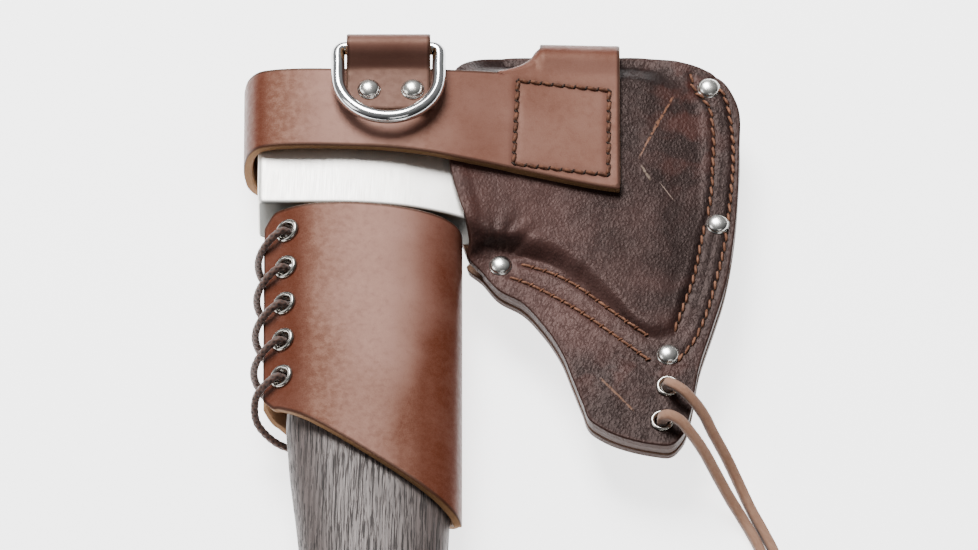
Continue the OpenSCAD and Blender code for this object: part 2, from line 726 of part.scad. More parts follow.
module strap_flap() {
    tip = flap_end - 8;
    flap_mid = (flap_y[0] + flap_y[1]) / 2;
    half_w = (flap_y[1] - flap_y[0]) / 2;
    tip_stations = [for (a = [0:15:75]) [tip + 14 * sin(a) * 0.6, half_w * pow(cos(a), 0.6)]];
    color(strap_brown) in_place() difference() {
        union() {
            band(concat(
                [[[hinge_x, strap_bottom, hinge_z], [hinge_x, strap_top, hinge_z]],
                 [[60, flap_y[0], hinge_z], [60, flap_y[1], hinge_z]]],
                [for (s = tip_stations) [[s.x, flap_mid - s.y, hinge_z], [s.x, flap_mid + s.y, hinge_z]]]
            ), strap_t);
            translate([hinge_x, strap_top, hinge_z]) rotate([90, 0, 0])
                cylinder(d = strap_t, h = strap_top - strap_bottom, $fn = 32);
        }
        translate([snap_at.x, snap_at.y, -25]) cylinder(d = post_d, h = 12, $fn = 48);
    }
}

module snap_cap() {
    color(bright) in_place() translate([snap_at.x, snap_at.y, hinge_z - strap_t / 2]) {
        mirror([0, 0, 1]) dome(snap_d, snap_cap_h);
        cylinder(d = post_d, h = strap_t, $fn = 48);
    }
}

module snap_socket() {
    depth = fold_outer_z - 1.2 - flap_inner_z;
    color(bright) in_place() translate([snap_at.x, snap_at.y, flap_inner_z]) difference() {
        cylinder(d = 11, h = depth, $fn = 48);
        translate([0, 0, 0.2]) cylinder(d = 5.8, h = depth, $fn = 48);
    }
}

// ---- Thong ----

module lace_upper_strand() {
    color(thong_brown) in_place() tube(upper_route, thong_r, 10, [1, 0, 0]);
}

module lace_lower_strand() {
    color(thong_brown) in_place() tube(lower_route, thong_r, 10, [1, 0, 0]);
}

module lace_bridge() {
    color(thong_brown) in_place() tube(bridge_route, thong_r, 10, [1, 0, 0]);
}

module lace_coil() {
    color(thong_brown) in_place() translate([coil_at.x, coil_at.y, lying - thong_r])
        rotate_extrude($fn = 96) translate([coil_inner, 0]) square([coil_outer - coil_inner, thong_d]);
}

module lace_tie() {
    width = coil_outer - coil_inner;
    middle_r = (coil_outer + coil_inner) / 2;
    color(cord_brown) in_place() translate([coil_at.x - middle_r, coil_at.y, lying]) difference() {
        cube([width + 2 * tie_t, 4, thong_d + 2 * tie_t], center = true);
        cube([width, 6, thong_d], center = true);
    }
}

module lace_knots() {
    color(thong_brown) in_place() for (p = knots_at) {
        translate([coil_at.x + p.x, coil_at.y + p.y, floor_z + knot_r]) sphere(r = knot_r, $fn = 32);
    }
}

// ---- Nodes ----

axe_head();
handle();
eye_wedge();
wedge_ring();
collar();
collar_eyelets(1);  // collar_eyelets_front
collar_eyelets(-1);  // collar_eyelets_back
collar_lace();
sheath_front_panel();
sheath_back_panel();
sheath_welt();
edge_seam_thread();
beard_seam_thread();
sheath_rivets();
tail_eyelets();
poll_strap();
strap_fold();
strap_box_thread();
fold_seam_thread();
ring_keeper();
keeper_rivets();
d_ring();
snap_stud();
snap_post();
strap_flap();
snap_cap();
snap_socket();
lace_upper_strand();
lace_lower_strand();
lace_bridge();
lace_coil();
lace_tie();
lace_knots();
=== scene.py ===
import math

import bpy
import numpy as np
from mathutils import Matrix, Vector, noise
from mathutils.bvhtree import BVHTree
from mathutils.kdtree import KDTree


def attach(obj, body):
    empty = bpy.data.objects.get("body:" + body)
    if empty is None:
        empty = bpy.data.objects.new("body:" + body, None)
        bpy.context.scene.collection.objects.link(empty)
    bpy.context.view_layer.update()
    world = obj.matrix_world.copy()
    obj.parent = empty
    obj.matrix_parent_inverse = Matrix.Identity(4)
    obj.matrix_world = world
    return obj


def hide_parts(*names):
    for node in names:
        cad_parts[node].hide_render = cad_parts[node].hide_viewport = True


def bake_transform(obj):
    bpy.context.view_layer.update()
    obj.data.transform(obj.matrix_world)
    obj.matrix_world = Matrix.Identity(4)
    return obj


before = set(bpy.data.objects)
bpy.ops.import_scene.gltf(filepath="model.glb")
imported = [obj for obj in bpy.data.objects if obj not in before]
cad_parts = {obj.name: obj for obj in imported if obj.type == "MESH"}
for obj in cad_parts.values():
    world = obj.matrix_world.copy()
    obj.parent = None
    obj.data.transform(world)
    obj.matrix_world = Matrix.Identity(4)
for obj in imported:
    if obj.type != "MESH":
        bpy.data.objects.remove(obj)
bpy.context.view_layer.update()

# Design millimetres, with X = 0 at the poll, Y = 0 at the head's lower edge and Z = 0 at mid thickness.
ORIGIN = np.array([82.5, -131.45, -20.1])
FLOOR_Z = -20.1
UP = (0, 0, 1)


def metres(points):
    return (np.asarray(points, float) - ORIGIN) * 0.001


def unit(v):
    return v / np.maximum(np.linalg.norm(v, axis=-1, keepdims=True), 1e-9)


def step(x, low, high):
    """0 below low, 1 above high, and smooth between them."""
    t = np.clip((np.asarray(x, float) - low) / (high - low), 0, 1)
    return t * t * (3 - 2 * t)


def bell(x, middle, width):
    """1 at the middle, falling to 0 some widths away."""
    return np.exp(-((np.asarray(x, float) - middle) / width) ** 2)


def smooth(points, per, closed=False):
    """A smooth curve through the points, with per steps to each span."""
    p = np.array(points, float)
    n = len(p)
    pick = (lambda i: p[i % n]) if closed else (lambda i: p[min(max(i, 0), n - 1)])
    out = []
    for i in range(n if closed else n - 1):
        a, b, c, d = pick(i - 1), pick(i), pick(i + 1), pick(i + 2)
        ab, bc, cd = (max(np.linalg.norm((v - u)[:3]), 1e-9) for u, v in ((a, b), (b, c), (c, d)))
        mb = (c - b) if ab < 1e-6 else ((b - a) / ab * bc + (c - b) / bc * ab) / (ab + bc) * bc
        mc = (c - b) if cd < 1e-6 else ((c - b) / bc * cd + (d - c) / cd * bc) / (bc + cd) * bc
        for t in np.linspace(0, 1, per, endpoint=False):
            out.append((2 * t**3 - 3 * t * t + 1) * b + (t**3 - 2 * t * t + t) * mb
                       + (3 * t * t - 2 * t**3) * c + (t**3 - t * t) * mc)
    return np.array(out if closed else out + [p[-1]])


def runs_along(points):
    """How far along the line each of its points is."""
    steps = np.diff(np.asarray(points)[:, :3], axis=0)
    return np.concatenate([[0], np.cumsum(np.linalg.norm(steps, axis=1))])


def spaced(points, gap):
    """The same line with its points about gap apart."""
    p = np.array(points, float)
    runs = runs_along(p)
    at = np.linspace(0, runs[-1], max(2, int(round(runs[-1] / gap)) + 1))
    return np.stack([np.interp(at, runs, p[:, k]) for k in range(p.shape[1])], axis=1)


def wobble(p, scale, seed=0.0):
    return noise.noise(Vector((p[0] * scale + seed, p[1] * scale - seed, p[2] * scale + 2 * seed)))


def circle(sides):
    """Angles once round."""
    return np.arange(sides) * 2 * math.pi / sides


def arc(start, stop, by):
    return np.radians(np.arange(start, stop, by))


def show(name, data):
    """A new object in the scene."""
    obj = bpy.data.objects.new(name, data)
    bpy.context.scene.collection.objects.link(obj)
    return obj


# ---- Camera ----

ELEVATION = math.radians(58)
LENS = 600
DISTANCE = 0.808 * LENS / 85
camera = show("camera", bpy.data.cameras.new("camera"))
camera.data.lens, camera.data.sensor_width = LENS, 36
camera.data.clip_start, camera.data.clip_end = 0.01, 100
back = Vector((0, -math.cos(ELEVATION), math.sin(ELEVATION)))
camera.location = Vector(metres([81.0, -22.4, 0])) + back * DISTANCE
camera.rotation_mode = "QUATERNION"
camera.rotation_quaternion = (-back).to_track_quat("-Z", "Y")
bpy.context.scene.camera = camera


# ---- Materials ----

class Field:
    """A value in a material's nodes. It can be added, subtracted and multiplied like a number."""

    def __init__(self, shade, socket):
        self.shade, self.socket = shade, socket

    def __add__(self, other):
        return self.shade.math("ADD", self, other)

    def __sub__(self, other):
        return self.shade.math("SUBTRACT", self, other)

    def __mul__(self, other):
        return self.shade.math("MULTIPLY", self, other)

    def __abs__(self):
        return self.shade.math("ABSOLUTE", self, 0.0)


class Shade:
    """A Principled material and short calls that add nodes to it."""

    def __init__(self, name, gloss=(1, 1, 1), **constants):
        self.mat = bpy.data.materials.new(name)
        self.mat.use_nodes = True
        self.tree = self.mat.node_tree
        self.bsdf = self.tree.nodes["Principled BSDF"]
        self.bsdf.inputs["Specular Tint"].default_value = (*gloss, 1)
        for key, value in constants.items():
            self.bsdf.inputs[key.replace("_", " ")].default_value = value
        self.mm = self.place()

    def add(self, kind, inputs, output=0, **settings):
        """The output of a new node. Its inputs are numbers, vectors or fields."""
        node = self.tree.nodes.new("ShaderNode" + kind)
        for key, value in settings.items():
            setattr(node, key, value)
        for key, value in inputs.items():
            if isinstance(value, Field):
                self.tree.links.new(value.socket, node.inputs[key])
            else:
                node.inputs[key].default_value = value
        return Field(self, node.outputs[output])

    def place(self, stretch=(1, 1, 1), turn=0):
        """Object coordinates in millimetres, turned about Z by degrees and stretched."""
        at = self.add("TexCoord", {}, "Object")
        at = self.add("Mapping", {"Vector": at, "Rotation": (0, 0, math.radians(turn))})
        return self.add("Mapping", {"Vector": at, "Scale": [1000 * s for s in stretch]})

    def noise(self, place, scale, detail=3.0, rough=0.5, twist=0.0, output=0):
        return self.add("TexNoise", {"Vector": place, "Scale": scale, "Detail": detail,
                                     "Roughness": rough, "Distortion": twist}, output)

    def cells(self, place, scale):
        return self.add("TexVoronoi", {"Vector": place, "Scale": scale}, "Distance")

    def math(self, operation, a, b, clamp=False):
        return self.add("Math", {0: a, 1: b}, operation=operation, use_clamp=clamp)

    def span(self, value, low, high, to_low=0.0, to_high=1.0):
        return self.add("MapRange", {"Value": value, "From Min": low, "From Max": high, "To Min": to_low,
                                     "To Max": to_high}, interpolation_type="SMOOTHSTEP")

    def value(self, name):
        """What the mesh stores under the name at each point."""
        return self.add("Attribute", {}, "Fac", attribute_name=name)

    def mix(self, share, a, b):
        """Colour a, going to colour b where share is 1."""
        first, second = (c if isinstance(c, Field) else (*c, 1) for c in (a, b))
        return self.add("Mix", {0: share, 6: first, 7: second}, 2, data_type="RGBA")

    def coats(self, colour, *coats):
        """The colour with more coats over it, each a share and a colour."""
        for share, over in coats:
            colour = self.mix(share, colour, over)
        return colour

    def finish(self, colour, rough, height=None, strength=0.0, depth=0.0):
        """The material, with a bump of the height field that is depth millimetres deep."""
        fields = {"Base Color": colour, "Roughness": rough}
        if height is not None:
            bump = {"Height": height, "Strength": strength, "Distance": depth * 0.001}
            fields["Normal"] = self.add("Bump", bump)
        for key, field in fields.items():
            self.tree.links.new(field.socket, self.bsdf.inputs[key])
        return self.mat


def ragged_line(s, start, end, half_width, ragged):
    """Mask of a ragged line from start to end in the XY plane, for worn lines and the painted crease shade.
    """
    a, b = np.array(start, float) - ORIGIN[:2], np.array(end, float) - ORIGIN[:2]
    length = float(np.linalg.norm(b - a))
    along = (b - a) / length
    x, y = (s.add("SeparateXYZ", {0: s.mm}, axis) for axis in (0, 1))
    run = (x - a[0]) * along[0] + (y - a[1]) * along[1]
    off = (x - a[0]) * -along[1] + (y - a[1]) * along[0] + (ragged - 0.5) * (2.2 * half_width)
    ends = s.span(run, -1, 1) * s.span(run, length + 1, length - 1)
    return s.span(abs(off), half_width, half_width * 0.3) * ends


# Worn marks on the sheath, and one near-black line of painted shade along the crease across the tail: start,
# end, half width, colour and share
WEAR_AND_CREASE_SHADE = [
    ((145.6, 47.6), (135.6, 26.5), 0.5, (0.2, 0.085, 0.045), 0.8),
    ((140.5, 38), (133.8, 22.0), 0.4, (0.2, 0.1, 0.06), 0.7),
    ((134.6, 18.4), (137.4, 13.2), 0.6, (0.26, 0.2, 0.15), 0.6),
    ((141.3, 11.5), (145.6, 5.2), 0.22, (0.3, 0.22, 0.18), 0.8),
    # Painted shade: a near-black line along the hollow crease across the tail.
    ((126.5, -58.0), (137.6, -63.4), 0.7, (0.02, 0.01, 0.009), 0.9),
    ((120.0, -68.0), (131.0, -80.5), 0.5, (0.2, 0.1, 0.055), 0.7),
]


def worn_sheath():
    """Oiled leather with a pebbled grain. The mesh stores tone (light: painted sheen where high, painted
    shade where low), warm (red), rim, wall and under.
    """
    s = Shade("sheath_leather_worn", (1, 0.74, 0.68), Specular_IOR_Level=0.2)
    straight = s.place((1, 0.78, 1), 12)
    drift = s.noise(straight, 0.9, 2.0, output="Color")
    grain = s.span(s.cells(s.add("VectorMath", {0: straight, 1: drift}, operation="ADD"), 0.95), 0.75, 0.05)
    crease = s.span(abs(s.noise(s.place((1, 0.45, 1), 12), 0.4, 4, 0.6, 0.5) - 0.5), 0.0, 0.03)
    fine = s.noise(s.mm, 2.2, 4, 0.6)
    tone = s.value("tone")
    # light: the painted sheen and shade from tone, with slow random variation.
    light = s.math("ADD", tone * 0.9, (s.noise(s.mm, 0.045, 4, 0.55, 0.6) - 0.5) * 1.5, clamp=True)
    red = s.value("warm") * s.span(s.noise(s.mm, 0.11, 3, 0.5), 0.42, 0.62)
    ragged = s.noise(s.mm, 0.5, 4, 0.7)
    broken = s.span(s.noise(s.mm, 0.9, 2, 0.5), 0.34, 0.5)
    flesh = s.mix(s.noise(s.mm, 1.6, 4, 0.7), (0.11, 0.06, 0.038), (0.19, 0.115, 0.075))
    colour = s.coats(
        s.mix(light, (0.0045, 0.0014, 0.0012), (0.062, 0.0285, 0.0245)),
        (red * 0.6, (0.052, 0.014, 0.01)),
        (s.span(grain, 0.3, 1, 0, 0.34) * s.span(tone, -0.15, 0.85), (0.07, 0.035, 0.03)),
        (s.span(crease, 1, 0, 0, 0.22), (0.006, 0.0025, 0.002)),
        (s.span(fine, 0.5, 0.75, 0, 0.2), (0.075, 0.045, 0.04)),
        # Worn marks, and one near-black line of painted shade in the tail's crease.
        *((ragged_line(s, start, end, half, ragged) * (broken * share), paint)
          for start, end, half, paint, share in WEAR_AND_CREASE_SHADE),
        (s.span(s.value("rim"), 1.3, 0.0, 0, 0.55), (0.03, 0.012, 0.009)),
        # Edge wall darker: partly the edge's own dark colour, partly painted shade.
        (s.value("wall") * 0.8, (0.03, 0.0135, 0.0095)),
        (s.value("under"), flesh),
    )
    rough = s.span(fine * 0.5 + crease * 0.5, 0.2, 0.9, 0.6, 0.4)
    return s.finish(colour, rough, grain * 0.6 + (crease * 0.35 + fine * 0.35), 0.38, 0.3)


def smooth_leather():
    """Waxed strap leather. The mesh stores tone (redder and darker: painted shade where high, painted sheen
    where low), dark, rim, wall and under.
    """
    s = Shade("strap_leather_waxed", (1, 0.62, 0.46), Specular_IOR_Level=0.25)
    mottle = s.noise(s.mm, 0.42, 4, 0.62, 0.2)
    fine = s.noise(s.mm, 2.4, 4, 0.65)
    # warm: the painted sheen and shade of tone, with slow random variation.
    warm = s.math("ADD", s.value("tone"), (s.noise(s.mm, 0.05, 3, 0.5) - 0.5) * 0.7, clamp=True)
    wall = s.value("wall")
    fibres = s.noise(s.place((3, 3, 0.6)), 1.1, 4, 0.7)
    colour = s.coats(
        s.mix(warm, (0.262, 0.14, 0.112), (0.07, 0.0125, 0.0035)),
        (s.span(mottle, 0.36, 0.66, 0, 0.16), (0.17, 0.08, 0.058)),
        (s.span(mottle, 0.5, 0.3, 0, 0.14), (0.075, 0.024, 0.013)),
        (s.span(fine, 0.35, 0.7, 0, 0.12), (0.24, 0.135, 0.1)),
        (s.value("dark"), (0.028, 0.01, 0.007)),
        (s.span(s.value("rim"), 0.9, 0.15, 0, 0.8), (0.022, 0.008, 0.005)),
        (wall, s.mix(fibres, (0.12, 0.06, 0.026), (0.24, 0.135, 0.066))),
        (s.value("under"), s.mix(s.noise(s.mm, 1.3, 5, 0.75), (0.24, 0.12, 0.06), (0.37, 0.22, 0.125))),
    )
    rough = s.span(mottle, 0.3, 0.7, 0.5, 0.38) + wall * 0.3
    pores = s.span(s.cells(s.mm, 1.25), 0, 0.35)
    return s.finish(colour, rough, fine * 0.5 + pores * 0.4, 0.28, 0.16)


def welt_leather():
    s = Shade("welt_leather_burnished", Specular_IOR_Level=0.4)
    colour = s.mix(s.noise(s.mm, 0.9, 4, 0.7), (0.018, 0.007, 0.005), (0.07, 0.032, 0.02))
    layers = s.noise(s.place((0.3, 0.3, 3)), 1.0, 3, 0.6)
    return s.finish(colour, s.span(layers, 0.3, 0.7, 0.45, 0.62), layers, 0.5, 0.25)


def thong_leather():
    """Fuzzy tan leather. The mesh stores skin, 1 on the thong's two sides, which are painted darker as shade.
    """
    s = Shade("thong_leather_tan", Specular_IOR_Level=0.3, Sheen_Weight=0.25, Sheen_Roughness=0.5)
    fuzz = s.noise(s.mm, 3.2, 5, 0.75)
    streak = s.noise(s.place((1, 0.3, 1), -35), 0.9, 4, 0.6)
    colour = s.coats(
        s.mix(streak, (0.2, 0.088, 0.048), (0.34, 0.19, 0.12)),
        # The two sides painted darker: painted shade.
        (s.value("skin"), s.mix(streak, (0.06, 0.026, 0.016), (0.13, 0.066, 0.044))),
        (s.span(fuzz, 0.42, 0.72, 0, 0.3), (0.38, 0.24, 0.16)),
    )
    return s.finish(colour, s.span(fuzz, 0.3, 0.7, 0.62, 0.85), fuzz + streak, 0.6, 0.25)


def thread(name, low, high):
    """Waxed thread. The mesh stores hole, 1 on the dark slots laid over the awl holes, which are painted near
    black as the holes' shade.
    """
    s = Shade(name, (1, 0.72, 0.6), Specular_IOR_Level=0.35)
    ply = s.add("TexWave", {"Vector": s.mm, "Scale": 0.55, "Distortion": 1.2, "Detail": 2.0}, "Fac")
    worn = s.noise(s.mm, 0.6, 4, 0.65)
    # hole paints the slots near black: painted shade of the awl holes.
    colour = s.mix(s.value("hole"), s.mix(s.span(worn, 0.35, 0.68), low, high), (0.004, 0.0025, 0.002))
    return s.finish(colour, s.span(worn, 0.3, 0.7, 0.5, 0.7), ply, 0.35, 0.12)


def braid():
    """Braided cord. The mesh stores crest, 1 on top of the strands; the material paints the grooves between
    the strands near black as shade and the tops lighter as a highlight.
    """
    s = Shade("braided_cord_brown", Specular_IOR_Level=0.4, Sheen_Weight=0.3)
    fuzz = s.noise(s.mm, 3.0, 4, 0.7)
    # Near black in the grooves, lighter on the tops of the strands: painted shade and painted highlight.
    colour = s.mix(s.span(s.value("crest"), 0.1, 0.9), (0.008, 0.0035, 0.0025), (0.07, 0.03, 0.019))
    colour = s.mix(s.span(fuzz, 0.45, 0.75, 0, 0.4), colour, (0.14, 0.07, 0.048))
    return s.finish(colour, s.span(fuzz, 0.3, 0.7, 0.5, 0.72), fuzz, 0.4, 0.12)


def bright_metal(name, colour, low, high, pits=0.0):
    """Plated or plain metal with a roughness from low to high."""
    s = Shade(name, Metallic=1.0)
    cloud = s.noise(s.mm, 0.35, 4, 0.6)
    hair = s.noise(s.place((6, 0.4, 6)), 1.0, 3, 0.6)
    tint = s.mix(s.span(cloud, 0.3, 0.7), [c * 0.9 for c in colour], colour)
    if pits:
        tint = s.mix(s.span(s.noise(s.mm, 1.6, 4, 0.7), 0.62, 0.74, 0, pits), tint, (0.2, 0.17, 0.13))
    return s.finish(tint, s.span(cloud, 0.3, 0.7, low, high) + hair * 0.05, cloud, 0.03, 0.05)


def satin_steel():
    """Steel ground along Y. Its faces that look along Y, the top and the underside, are painted darker as
    shade.
    """
    s = Shade("satin_steel_ground", Metallic=1.0)
    lines = s.noise(s.place((4.5, 0.11, 4.5), 3), 1.0, 5, 0.65)
    cloud = s.noise(s.mm, 0.06, 4, 0.55)
    facing = s.add("SeparateXYZ", {0: s.add("TexCoord", {}, "Normal")}, "Y")
    colour = s.coats(
        s.mix(s.span(cloud, 0.3, 0.7), (0.8, 0.77, 0.73), (0.86, 0.835, 0.8)),
        (s.span(lines, 0.3, 0.7, 0, 0.1), (0.66, 0.64, 0.6)),
        (s.span(s.noise(s.mm, 0.5, 5, 0.7), 0.66, 0.76, 0, 0.25), (0.42, 0.36, 0.3)),
        # Faces that look along Y painted dark grey: painted shade on the top and underside.
        (s.span(abs(facing), 0.5, 0.9), (0.12, 0.12, 0.112)),
    )
    return s.finish(colour, s.span(lines, 0.3, 0.7, 0.42, 0.54) + cloud * 0.06, lines, 0.12, 0.08)


def stained_ash():
    """Open-grained wood with dark pores along Y."""
    s = Shade("stained_ash_handle", (1, 0.93, 0.9), Specular_IOR_Level=0.5, Coat_Weight=0.08,
              Coat_Roughness=0.45)
    bent = s.noise(s.place((0.06, 0.012, 0.06)), 1.0, 2, 0.5)
    rings = s.add("TexWave", {"Vector": s.place((0.16, 0.004, 0.22), 2), "Scale": 1.0, "Distortion": 5.0,
                              "Detail": 3.0, "Detail Scale": 0.7, "Phase Offset": 1.4}, "Fac")
    pores = s.noise(s.place((1, 0.033, 1), 1.5), 2.1, 2, 0.5, 0.1)
    ticks = s.noise(s.place((1, 0.05, 1), 1.5), 3.4, 2, 0.5)
    fibre = s.noise(s.place((1, 0.03, 1)), 3.4, 4, 0.6)
    pore = s.math("MAXIMUM", s.span(pores, 0.54, 0.6), s.span(ticks, 0.6, 0.68, 0, 0.7))
    colour = s.coats(
        s.mix(s.span(rings, 0.15, 0.85), (0.1, 0.077, 0.072), (0.048, 0.036, 0.033)),
        (s.span(bent, 0.35, 0.7, 0, 0.4), (0.155, 0.127, 0.12)),
        (s.span(fibre, 0.35, 0.7, 0, 0.4), (0.03, 0.022, 0.02)),
        (pore * 0.92, (0.006, 0.0045, 0.004)),
    )
    return s.finish(colour, s.span(fibre, 0.3, 0.7, 0.4, 0.54) + pore * 0.3, fibre * 0.3 - pore, 0.7, 0.25)


def wedge_wood():
    s = Shade("wedge_wood_plain", Specular_IOR_Level=0.35)
    grain = s.noise(s.place((1, 0.08, 1)), 1.6, 4, 0.6)
    colour = s.mix(s.span(grain, 0.35, 0.65), (0.36, 0.24, 0.13), (0.19, 0.11, 0.055))
    return s.finish(colour, s.span(grain, 0.3, 0.7, 0.5, 0.65), grain, 0.4, 0.15)


def floor_paper():
    s = Shade("floor_paper", Specular_IOR_Level=0.2, Emission_Color=(1, 1, 1, 1), Emission_Strength=2.6)
    cloud = s.noise(s.mm, 0.02, 3, 0.5)
    return s.finish(s.mix(cloud, (0.9, 0.9, 0.9), (0.93, 0.93, 0.93)), s.span(cloud, 0.3, 0.7, 0.75, 0.85))


# Each material and its slot
LEATHER = smooth_leather(), "strap_leather"
SHEATH = worn_sheath(), "sheath_leather"
WELT = welt_leather(), "welt_leather"
THONG = thong_leather(), "thong_leather"
SEAM_THREAD = thread("waxed_thread_copper", (0.085, 0.033, 0.018), (0.25, 0.115, 0.068)), "waxed_thread"
BOX_THREAD = thread("waxed_thread_dark", (0.04, 0.0135, 0.0075), (0.15, 0.06, 0.033)), "strap_thread"
BRAID = braid(), "braided_cord"
NICKEL = bright_metal("nickel_plate", (0.72, 0.7, 0.66), 0.17, 0.27), "nickel"
EYELET = bright_metal("nickel_eyelet", (0.42, 0.4, 0.365), 0.16, 0.26), "nickel"
CHROME = bright_metal("polished_ring_steel", (0.68, 0.68, 0.68), 0.07, 0.13), "polished_steel"
WEDGE_STEEL = bright_metal("wedge_steel_plain", (0.55, 0.54, 0.52), 0.32, 0.46, 0.4), "wedge_steel"
STEEL = satin_steel(), "satin_steel"
ASH = stained_ash(), "stained_ash"
WEDGE = wedge_wood(), "wedge_wood"


# ---- Mesh helpers. A part is its points in design millimetres, its faces and what each point stores. ----

def piece(name, part, look, nodes, body="hatchet", sharp=None, ride=True):
    """A mesh piece in the row frame. sharp is the angle from which its edges stay sharp."""
    points, faces, values = part
    material, slot = look
    mesh = bpy.data.meshes.new(name)
    mesh.from_pydata(metres(points).tolist(), [], [tuple(int(i) for i in f) for f in faces])
    for key, data in values.items():
        mesh.attributes.new(key, "FLOAT", "POINT").data.foreach_set("value", np.asarray(data, np.float32))
    mesh.shade_smooth()
    if sharp:
        mesh.set_sharp_from_angle(angle=math.radians(sharp))
    mesh.materials.append(material)
    obj = show(name, mesh)
    if ride:
        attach(obj, body)
    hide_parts(*nodes)
    return obj


def join(parts):
    """Several parts as one."""
    points, faces, values, base = [], [], {}, 0
    for p, f, v in parts:
        points.append(np.asarray(p, float))
        faces += [tuple(i + base for i in face) for face in f]
        for key, data in v.items():
            values.setdefault(key, []).append(np.asarray(data, float))
        base += len(p)
    return np.concatenate(points), faces, {k: np.concatenate(v) for k, v in values.items()}


def turned(faces):
    return [tuple(reversed(f)) for f in faces]


def outward(part):
    """The closed part with its faces turned so that their normals look out."""
    points, faces, values = part
    volume = sum(np.dot(points[f[0]], np.cross(points[f[k]], points[f[k + 1]]))
                 for f in faces for k in range(1, len(f) - 1))
    return points, faces if volume > 0 else turned(faces), values


def grid(rows, columns):
    """Quads of a grid of rows by columns points."""
    return [(i * columns + j, (i + 1) * columns + j, (i + 1) * columns + j + 1, i * columns + j + 1)
            for i in range(rows - 1) for j in range(columns - 1)]


def ring_faces(count, sides, closed=False):
    """Quads between rings of points. Without closed, the first and last ring get an end face each."""
    around = [(i, (i + 1) % sides) for i in range(sides)]
    faces = [(k * sides + i, k * sides + j, (k + 1) % count * sides + j, (k + 1) % count * sides + i)
             for k in range(count if closed else count - 1) for i, j in around]
    if closed:
        return faces
    return faces + [tuple(range(sides - 1, -1, -1)), tuple((count - 1) * sides + i for i in range(sides))]


def edges_of(faces):
    """Directed edges. One whose reverse isn't there lies on a border."""
    return {(f[k], f[(k + 1) % len(f)]) for f in faces for k in range(len(f))}


def face_normals(points, faces):
    normal = np.zeros_like(points)
    for f in faces:
        q = points[list(f)]
        n = np.cross(q[2] - q[0], q[3] - q[1]) if len(f) > 3 else np.cross(q[1] - q[0], q[2] - q[0])
        normal[list(f)] += n
    return unit(normal)


def reach_from(points, centre, axis):
    """Each point's offset from a line through the centre and its length, 99 for points far along the line."""
    off = points - centre
    along = off @ np.asarray(axis, float)
    flat = off - np.outer(along, axis)
    reach = np.linalg.norm(flat, axis=1)
    reach[np.abs(along) > 5] = 99
    return flat, reach


def open_hole(points, faces, centre, axis, near, radius):
    """Faces left round a hole. Its border, nearer than near, is brought to the radius."""
    flat, reach = reach_from(points, centre, axis)
    faces = [f for f in faces if reach[list(f)].mean() > 3.9]
    close = {i for f in faces for i in f if reach[i] < near}
    edges = edges_of(f for f in faces if close & set(f))
    for i in {i for a, b in edges if (b, a) not in edges for i in (a, b) if i in close}:
        points[i] += flat[i] * (radius / reach[i] - 1)
    return faces


def thicken(points, faces, t, bevel=0.55, cut=None):
    """A sheet of leather with eased edges round a middle surface.

    cut tells which border points lie on a plain end. The sheet stores rim (millimetres to the edge),
    wall (1 on the edge) and under (1 on the inner face).
    """
    used = sorted({i for f in faces for i in f})
    place = {v: k for k, v in enumerate(used)}
    points = np.asarray(points, float)[used]
    faces = [tuple(place[i] for i in f) for f in faces]
    normal = face_normals(points, faces)
    count = len(points)
    edges = edges_of(faces)
    border = sorted((a, b) for a, b in edges if (b, a) not in edges)
    plain = {i for e in border for i in e if cut is not None and cut(points[i])}
    out = np.zeros_like(points)
    for a, b in border:
        if not (a in plain and b in plain):
            o = unit(np.cross(points[b] - points[a], normal[a] + normal[b]))
            out[a] += o
            out[b] += o
    out = unit(out)
    h = t / 2
    # Steps over the edge: out, up and wall
    profile = [(0.5 * bevel, h - 0.13 * bevel, 0.0), (bevel, h - 0.6 * bevel, 0.5), (bevel, h - bevel, 1.0)]
    profile += [(o, -z, w) for o, z, w in reversed(profile)]
    rings = sorted({i for e in border for i in e})
    spot = {v: k for k, v in enumerate(rings)}
    size = len(rings)
    all_points = [points + normal * h, points - normal * h]
    wall = [np.zeros(2 * count)]
    under = [np.zeros(count), np.ones(count)]
    for o, z, w in profile:
        all_points.append(points[rings] + out[rings] * o + normal[rings] * z)
        wall.append(np.full(size, w))
        under.append(np.full(size, 1.0 if z < 0 and w == 0 else 0.0))
    result = list(faces) + [tuple(i + count for i in reversed(f)) for f in faces]

    def ring_at(j, v):
        if j in (0, len(profile) + 1):
            return v if j == 0 else v + count
        return 2 * count + (j - 1) * size + spot[v]

    base = 2 * count + len(profile) * size
    extra = []
    for a, b in border:
        if a in plain and b in plain:
            k = base + len(extra)
            extra += [points[i] + normal[i] * way for i, way in ((a, h), (a, -h), (b, -h), (b, h))]
            result.append((k, k + 1, k + 2, k + 3))
            continue
        for j in range(len(profile) + 1):
            result.append((ring_at(j, a), ring_at(j + 1, a), ring_at(j + 1, b), ring_at(j, b)))
    if extra:
        all_points.append(np.array(extra))
        wall.append(np.zeros(len(extra)))
        under.append(np.zeros(len(extra)))
    tree = KDTree(size)
    for v in rings:
        if v not in plain:
            tree.insert(points[v], v)
    tree.balance()
    rim = np.zeros(base + len(extra))
    for i in range(count):
        rim[i] = rim[i + count] = tree.find(points[i])[2]
    rim[base:] = 5
    values = {"rim": rim, "wall": np.concatenate(wall), "under": np.concatenate(under)}
    return np.concatenate(all_points), result, values


def carried(path, normal):
    """The path's tangents, and a normal at each point that turns as little as possible."""
    tangent = unit(np.gradient(path, axis=0))
    out = []
    for t in tangent:
        normal = unit(normal - t * np.dot(normal, t))
        out.append(normal)
    return tangent, np.array(out)


